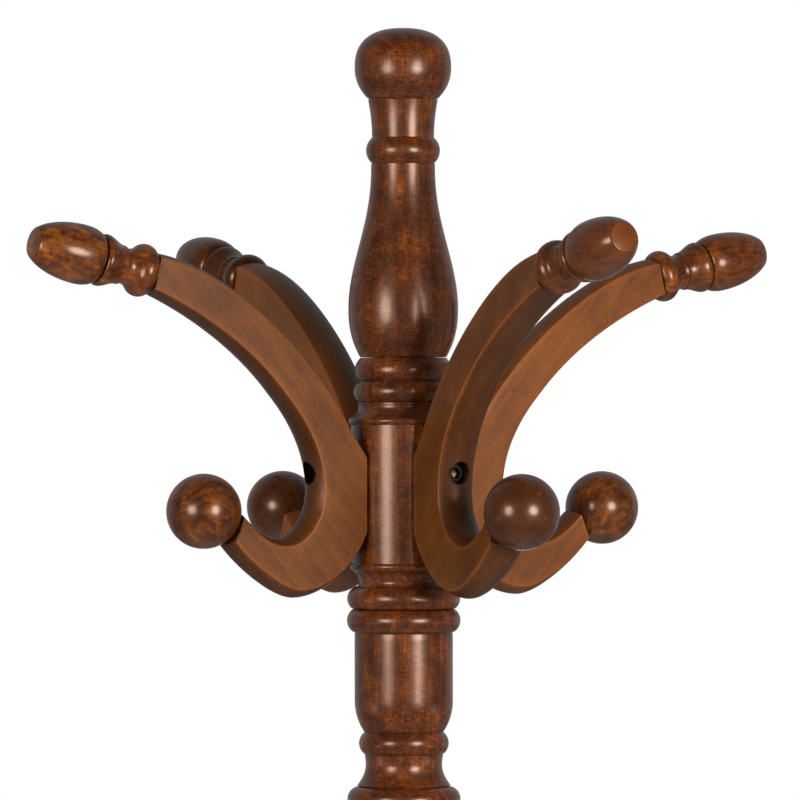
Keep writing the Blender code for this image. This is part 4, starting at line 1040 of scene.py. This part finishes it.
def hexBolt():
    # Rows of points round the axis: the floor and walls of the socket follow a hexagon, whose distance from
    # the axis is half its width over the cosine of the angle from the nearest flat's middle, and the rest
    # are circles.
    s = boltSizes
    head = fixing["headRadius"]
    under = seat + fixing["seat"] + slack
    top = under + fixing["headHeight"]
    steps = 72
    angle = 2 * math.pi * np.arange(steps) / steps
    hexagon = s["across"] / 2 / np.cos((angle + math.pi / 6) % (math.pi / 3) - math.pi / 6)
    circle = np.ones(steps)
    socketEnd = top - s["socketDepth"]
    rows = [(hexagon * 0.05, socketEnd - 0.6), (hexagon, socketEnd), (hexagon, top - 0.15),
            (hexagon + 0.15, top)]
    outline = [(head - 1.0, top), (head - s["chamfer"], top - 0.1), (head - 0.12, top - 0.35),
               (head, top - 0.9), (head, under + 0.3), (head - 0.2, under), (boltRadius, under),
               (boltRadius, seat + 4)]
    shank = np.linspace(seat + 3.5, s["end"] + 1.0, 120)
    wave = 0.5 + 0.5 * np.cos(2 * math.pi * (shank - seat) / s["pitch"])
    outline += zip(boltRadius - s["threadDepth"] * wave, shank)
    outline += [(boltRadius - 0.6, s["end"] + 0.2), (boltRadius - 0.9, s["end"])]
    rows += [(circle * radius, height) for radius, height in outline]
    around = [np.column_stack([r * np.cos(angle), r * np.sin(angle), np.full(steps, h)]) for r, h in rows]
    vertices = np.vstack(around)
    faces = gridFaces(len(rows), steps, True)[:, ::-1].tolist()
    faces += [list(range(steps)), [(len(rows) - 1) * steps + i for i in range(steps)][::-1]]
    return vertices, faces


boltVertices, boltFaces = hexBolt()
for kind, level, turns in (("arm", armLevel, armTurns), ("leg", legLevel, noTurns)):
    for index in range(armCount):
        number = str(index + 1)
        where = Matrix.Translation((0, 0, level)) @ aroundPost(index, turns) @ layDown()
        bolt = meshObject(kind + "BoltSocketHead" + number, moved(boltVertices, where), boltFaces, 30)
        settle(bolt, [kind + "_bolt_" + number], steel)
print("bolts made")


# Legs and pads.

legSizes = {"half": 11.0, "root": 270.0, "reach": 236.0, "foot": 21.0, "sole": 6.0,
            "depths": (34.0, 21.0, 14.5, 16.0), "toe": 15.7, "edge": 1.2, "padInset": 4.0,
            "rootHandle": (70.0, -8.0), "toeHandle": 106.0, "upperCrown": 2.8, "lowerCrown": 2.6,
            "leastCrown": 0.05}
padSizes = {"stem": 3.0, "stemTop": 17.7, "radius": 10.0, "top": 5.7, "bevel": 0.4,
            "rounding": ((0.0, 1.2), (0.3, 0.5), (0.9, 0.1), (1.4, 0.0))}


def legStrip():
    # The middle line is a cubic from the hub down and out to the foot. The depth about it is a cubic too,
    # and the end is a half round toe. The sole is cut flat.
    s = legSizes
    start, end = np.array([seat, s["root"]]), np.array([s["reach"], s["foot"]])
    middle = cubic(start, start + s["rootHandle"], end - (s["toeHandle"], 0.0), end, 150)
    along = np.gradient(middle, axis=0)
    along[0], along[-1] = s["rootHandle"], (1.0, 0.0)
    along /= np.linalg.norm(along, axis=1)[:, None]
    across = np.column_stack([-along[:, 1], along[:, 0]])
    depth = cubic(*([d] for d in s["depths"]), 150)[:, 0]
    upper, lower = middle + across * depth[:, None], middle - across * depth[:, None]
    upper[0], lower[0] = (seat, upper[0][1]), (seat, lower[0][1])
    upper[:, 0], lower[:, 0] = np.maximum(upper[:, 0], seat), np.maximum(lower[:, 0], seat)
    turn = np.linspace(0, math.pi / 2, 30)[1:-1]
    toe = np.column_stack([s["toe"] * np.sin(turn), depth[-1] * np.cos(turn)])
    upper, lower = np.vstack([upper, end + toe]), np.vstack([lower, end + toe * (1, -1)])
    lower[:, 1] = np.maximum(lower[:, 1], s["sole"])
    gap = np.linalg.norm(upper - lower, axis=1)
    sag = np.clip((gap - 6) / 14, 0.02, 1)
    rooted = np.clip(np.arange(len(upper)) / 12, 0, 1)
    onSole = lower[:, 1] <= s["sole"] + 0.01
    lowerSag = np.where(onSole, 0.0, s["lowerCrown"] * sag * rooted) + s["leastCrown"]
    upperSag = s["upperCrown"] * sag * rooted + s["leastCrown"]
    edge = np.minimum(s["edge"], gap / 6)
    return crownedStrip(upper, lower, s["half"], upperSag, lowerSag, edge, edge)


def padHole():
    radius = padSizes["stem"] + slack
    end = padSizes["stemTop"] + 2 * slack
    return [(0, end), (radius, end), (radius, 2), (0, 2)]


padPlace = Matrix.Translation((legSizes["reach"] - legSizes["padInset"], 0, 0))
legVertices, legFaces, legWornAndLit = legStrip()
legHoles = [
    (boltHole(seat + 95), Matrix.Translation((0, 0, legLevel)) @ layDown()),
    (dowelHole(), Matrix.Translation((0, 0, legLevel - fixing["dowelBelow"])) @ layDown()),
    (padHole(), padPlace),
]
legCut, legPolygons = drilled("legBlank", legVertices, legFaces, legHoles)
legWearAndHighlight = nearestMarks(legCut, legVertices, legWornAndLit)
legBoards = ((26.0, 30.0, 1800.0), (-30.0, -35.0, 2300.0), (22.0, -40.0, 2800.0), (-26.0, 28.0, 3300.0))
legBoardTilt = Matrix.Rotation(math.radians(42.0), 4, "Y")  # the grain runs down and outward
legGrain = moved(legCut, legBoardTilt)[:, [2, 1, 0]]
for index in range(armCount):
    leg = meshObject("legSawn" + str(index + 1), moved(legCut, aroundPost(index)), legPolygons)
    storePoints(leg, "grain", legGrain + np.array(legBoards[index]))
    storePoints(leg, "figure", np.ones(len(legCut)))
    # painted light: a board with a negative tone is painted paler, on top of the edges' wear and painted
    # highlight
    storePoints(leg, "wornAndLit", legWearAndHighlight * edgeWearAndHighlight + max(-boardLightAndShade[index], 0.0))
    # painted shade: the bolt hole, the crowned faces and a board with a positive tone are painted darker
    storePoints(leg, "stainAndShade", stripShade(legCut, legLevel, legSizes["half"], boardLightAndShade[index]))
    settle(leg, ["leg_" + str(index + 1)], armWood)


def padPoints():
    s = padSizes
    stem, stemTop, radius, top, bevel = s["stem"], s["stemTop"], s["radius"], s["top"], s["bevel"]
    points = [(0.0, stemTop), (stem - bevel, stemTop), (stem, stemTop - bevel), (stem, top),
              (radius - bevel, top), (radius, top - bevel)]
    return points + [(radius - inward, height) for inward, height in s["rounding"]] + [(0.0, 0.0)]


padVertices, padFaces = turnedGrid(padPoints(), 64)
for index in range(armCount):
    where = aroundPost(index) @ padPlace
    pad = meshObject("footPadMoulded" + str(index + 1), moved(padVertices, where), padFaces)
    settle(pad, ["foot_pad_" + str(index + 1)], rubber)
print("legs and pads made")


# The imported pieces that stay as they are, hidden inside the wood. Only their materials are new.

for nodeName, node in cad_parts.items():
    if node.hide_render:
        continue
    if "insert" in nodeName:
        chosen, chosenSlot = brass, "brass"
    elif "dowel" in nodeName:
        chosen, chosenSlot = beech, "beech"
    else:
        chosen, chosenSlot = steel, "steel"
    node.data.materials.clear()
    node.data.materials.append(chosen)


# Studio.

studio = {"lampPowers": (12.6, 19.0), "lampColour": "#FFD6BE", "lampSize": 0.52, "lampReach": 1.30,
          "lampTurn": 37.0, "lampLift": 0.05, "hookLevel": 1.66,
          "lowTurns": (-75.0, 75.0, 180.0), "lowPower": 3.6, "lowSize": 0.9, "lowReach": 1.9,
          "lowLevel": 0.75, "lowAim": 0.45, "lowSpread": 55.0,
          "viewTurn": -30.3, "viewReach": 2.933, "viewLevel": 1.6431, "lens": 275.0,
          "viewRoll": -0.083, "shift": (-0.00425, 0.022),
          "floorHalf": 6.0, "floorLevel": -0.001, "floorTone": 0.85, "floorRoughness": 0.9,
          "skyBand": (-0.75, 0.35), "skyStrength": (0.38, 0.06)}


def towards(degrees):
    # a level direction, counted like the camera's turn round the post: 0 is -Y
    turn = math.radians(degrees)
    return Vector((math.sin(turn), -math.cos(turn), 0))


def softLamp(name, degrees, power, size, reach, level, aimLevel, spread=180.0):
    # a round area lamp that faces the post's axis at aimLevel; a small spread keeps its light near its own
    # level
    data = bpy.data.lights.new(name, "AREA")
    data.shape = "DISK"
    data.spread = math.radians(spread)
    data.size = size
    data.energy = power
    data.color = linear(studio["lampColour"])[:3]
    lamp = bpy.data.objects.new(name, data)
    bpy.context.scene.collection.objects.link(lamp)
    lamp.location = towards(degrees) * reach + Vector((0, 0, level))
    aim = Vector((0, 0, aimLevel)) - lamp.location
    lamp.rotation_euler = aim.to_track_quat("-Z", "Y").to_euler()


for side, turn, power in (("Left", -studio["lampTurn"], studio["lampPowers"][0]),
                          ("Right", studio["lampTurn"] - 3, studio["lampPowers"][1])):
    softLamp("softbox" + side, studio["viewTurn"] + turn, power, studio["lampSize"],
             studio["lampReach"], studio["hookLevel"] + studio["lampLift"], studio["hookLevel"])
# three more for the legs and the lower post, which the first two don't reach
for number, turn in enumerate(studio["lowTurns"]):
    softLamp("softboxLow" + str(number + 1), studio["viewTurn"] + turn, studio["lowPower"], studio["lowSize"],
             studio["lowReach"], studio["lowLevel"], studio["lowAim"], studio["lowSpread"])

floorMaterial, _, floorShader = newMaterial("paleStudioFloor")
floorShader.inputs["Base Color"].default_value = [studio["floorTone"]] * 3 + [1]
floorShader.inputs["Roughness"].default_value = studio["floorRoughness"]
floorMesh = bpy.data.meshes.new("studioFloor")
half, level = studio["floorHalf"], studio["floorLevel"]
floorCorners = [(-half, -half, level), (half, -half, level), (half, half, level), (-half, half, level)]
floorMesh.from_pydata(floorCorners, [], [(0, 1, 2, 3)])
floorMesh.materials.append(floorMaterial)
studioFloor = bpy.data.objects.new("studioFloor", floorMesh)
bpy.context.scene.collection.objects.link(studioFloor)

world = bpy.data.worlds.new("paleStudio")
bpy.context.scene.world = world
world.use_nodes = True
sky = world.node_tree
background = sky.nodes["Background"]
# What the pieces reflect: white behind the post, dimmer on the camera's side.
direction = addNode(sky, "ShaderNodeTexCoord").outputs["Generated"]
facing = addNode(sky, "ShaderNodeVectorMath", {"operation": "DOT_PRODUCT"},
                 {0: direction, 1: towards(studio["viewTurn"])}).outputs["Value"]
fall = addNode(sky, "ShaderNodeMapRange", {"interpolation_type": "SMOOTHSTEP"},
               {"Value": facing, "From Min": studio["skyBand"][0], "From Max": studio["skyBand"][1],
                "To Min": studio["skyStrength"][0], "To Max": studio["skyStrength"][1]})
seen = addNode(sky, "ShaderNodeLightPath").outputs["Is Camera Ray"]
strength = addNode(sky, "ShaderNodeMix", {"data_type": "FLOAT"},
                   {"Factor": seen, "A": fall.outputs["Result"], "B": 1.0})
sky.links.new(strength.outputs["Result"], background.inputs["Strength"])
background.inputs["Color"].default_value = (1, 1, 1, 1)

cameraData = bpy.data.cameras.new("productCamera")
cameraData.lens = studio["lens"]
cameraData.sensor_width = 36.0
cameraData.shift_x, cameraData.shift_y = studio["shift"]
cameraData.clip_end = 100.0
camera = bpy.data.objects.new("productCamera", cameraData)
bpy.context.scene.collection.objects.link(camera)
camera.location = towards(studio["viewTurn"]) * studio["viewReach"] + Vector((0, 0, studio["viewLevel"]))
turned = Matrix.Rotation(math.radians(studio["viewTurn"]), 4, "Z") @ Matrix.Rotation(math.pi / 2, 4, "X")
camera.rotation_euler = (turned @ Matrix.Rotation(math.radians(studio["viewRoll"]), 4, "Z")).to_euler()
bpy.context.scene.camera = camera
bpy.context.scene.view_settings.view_transform = "Standard"
print("studio set")
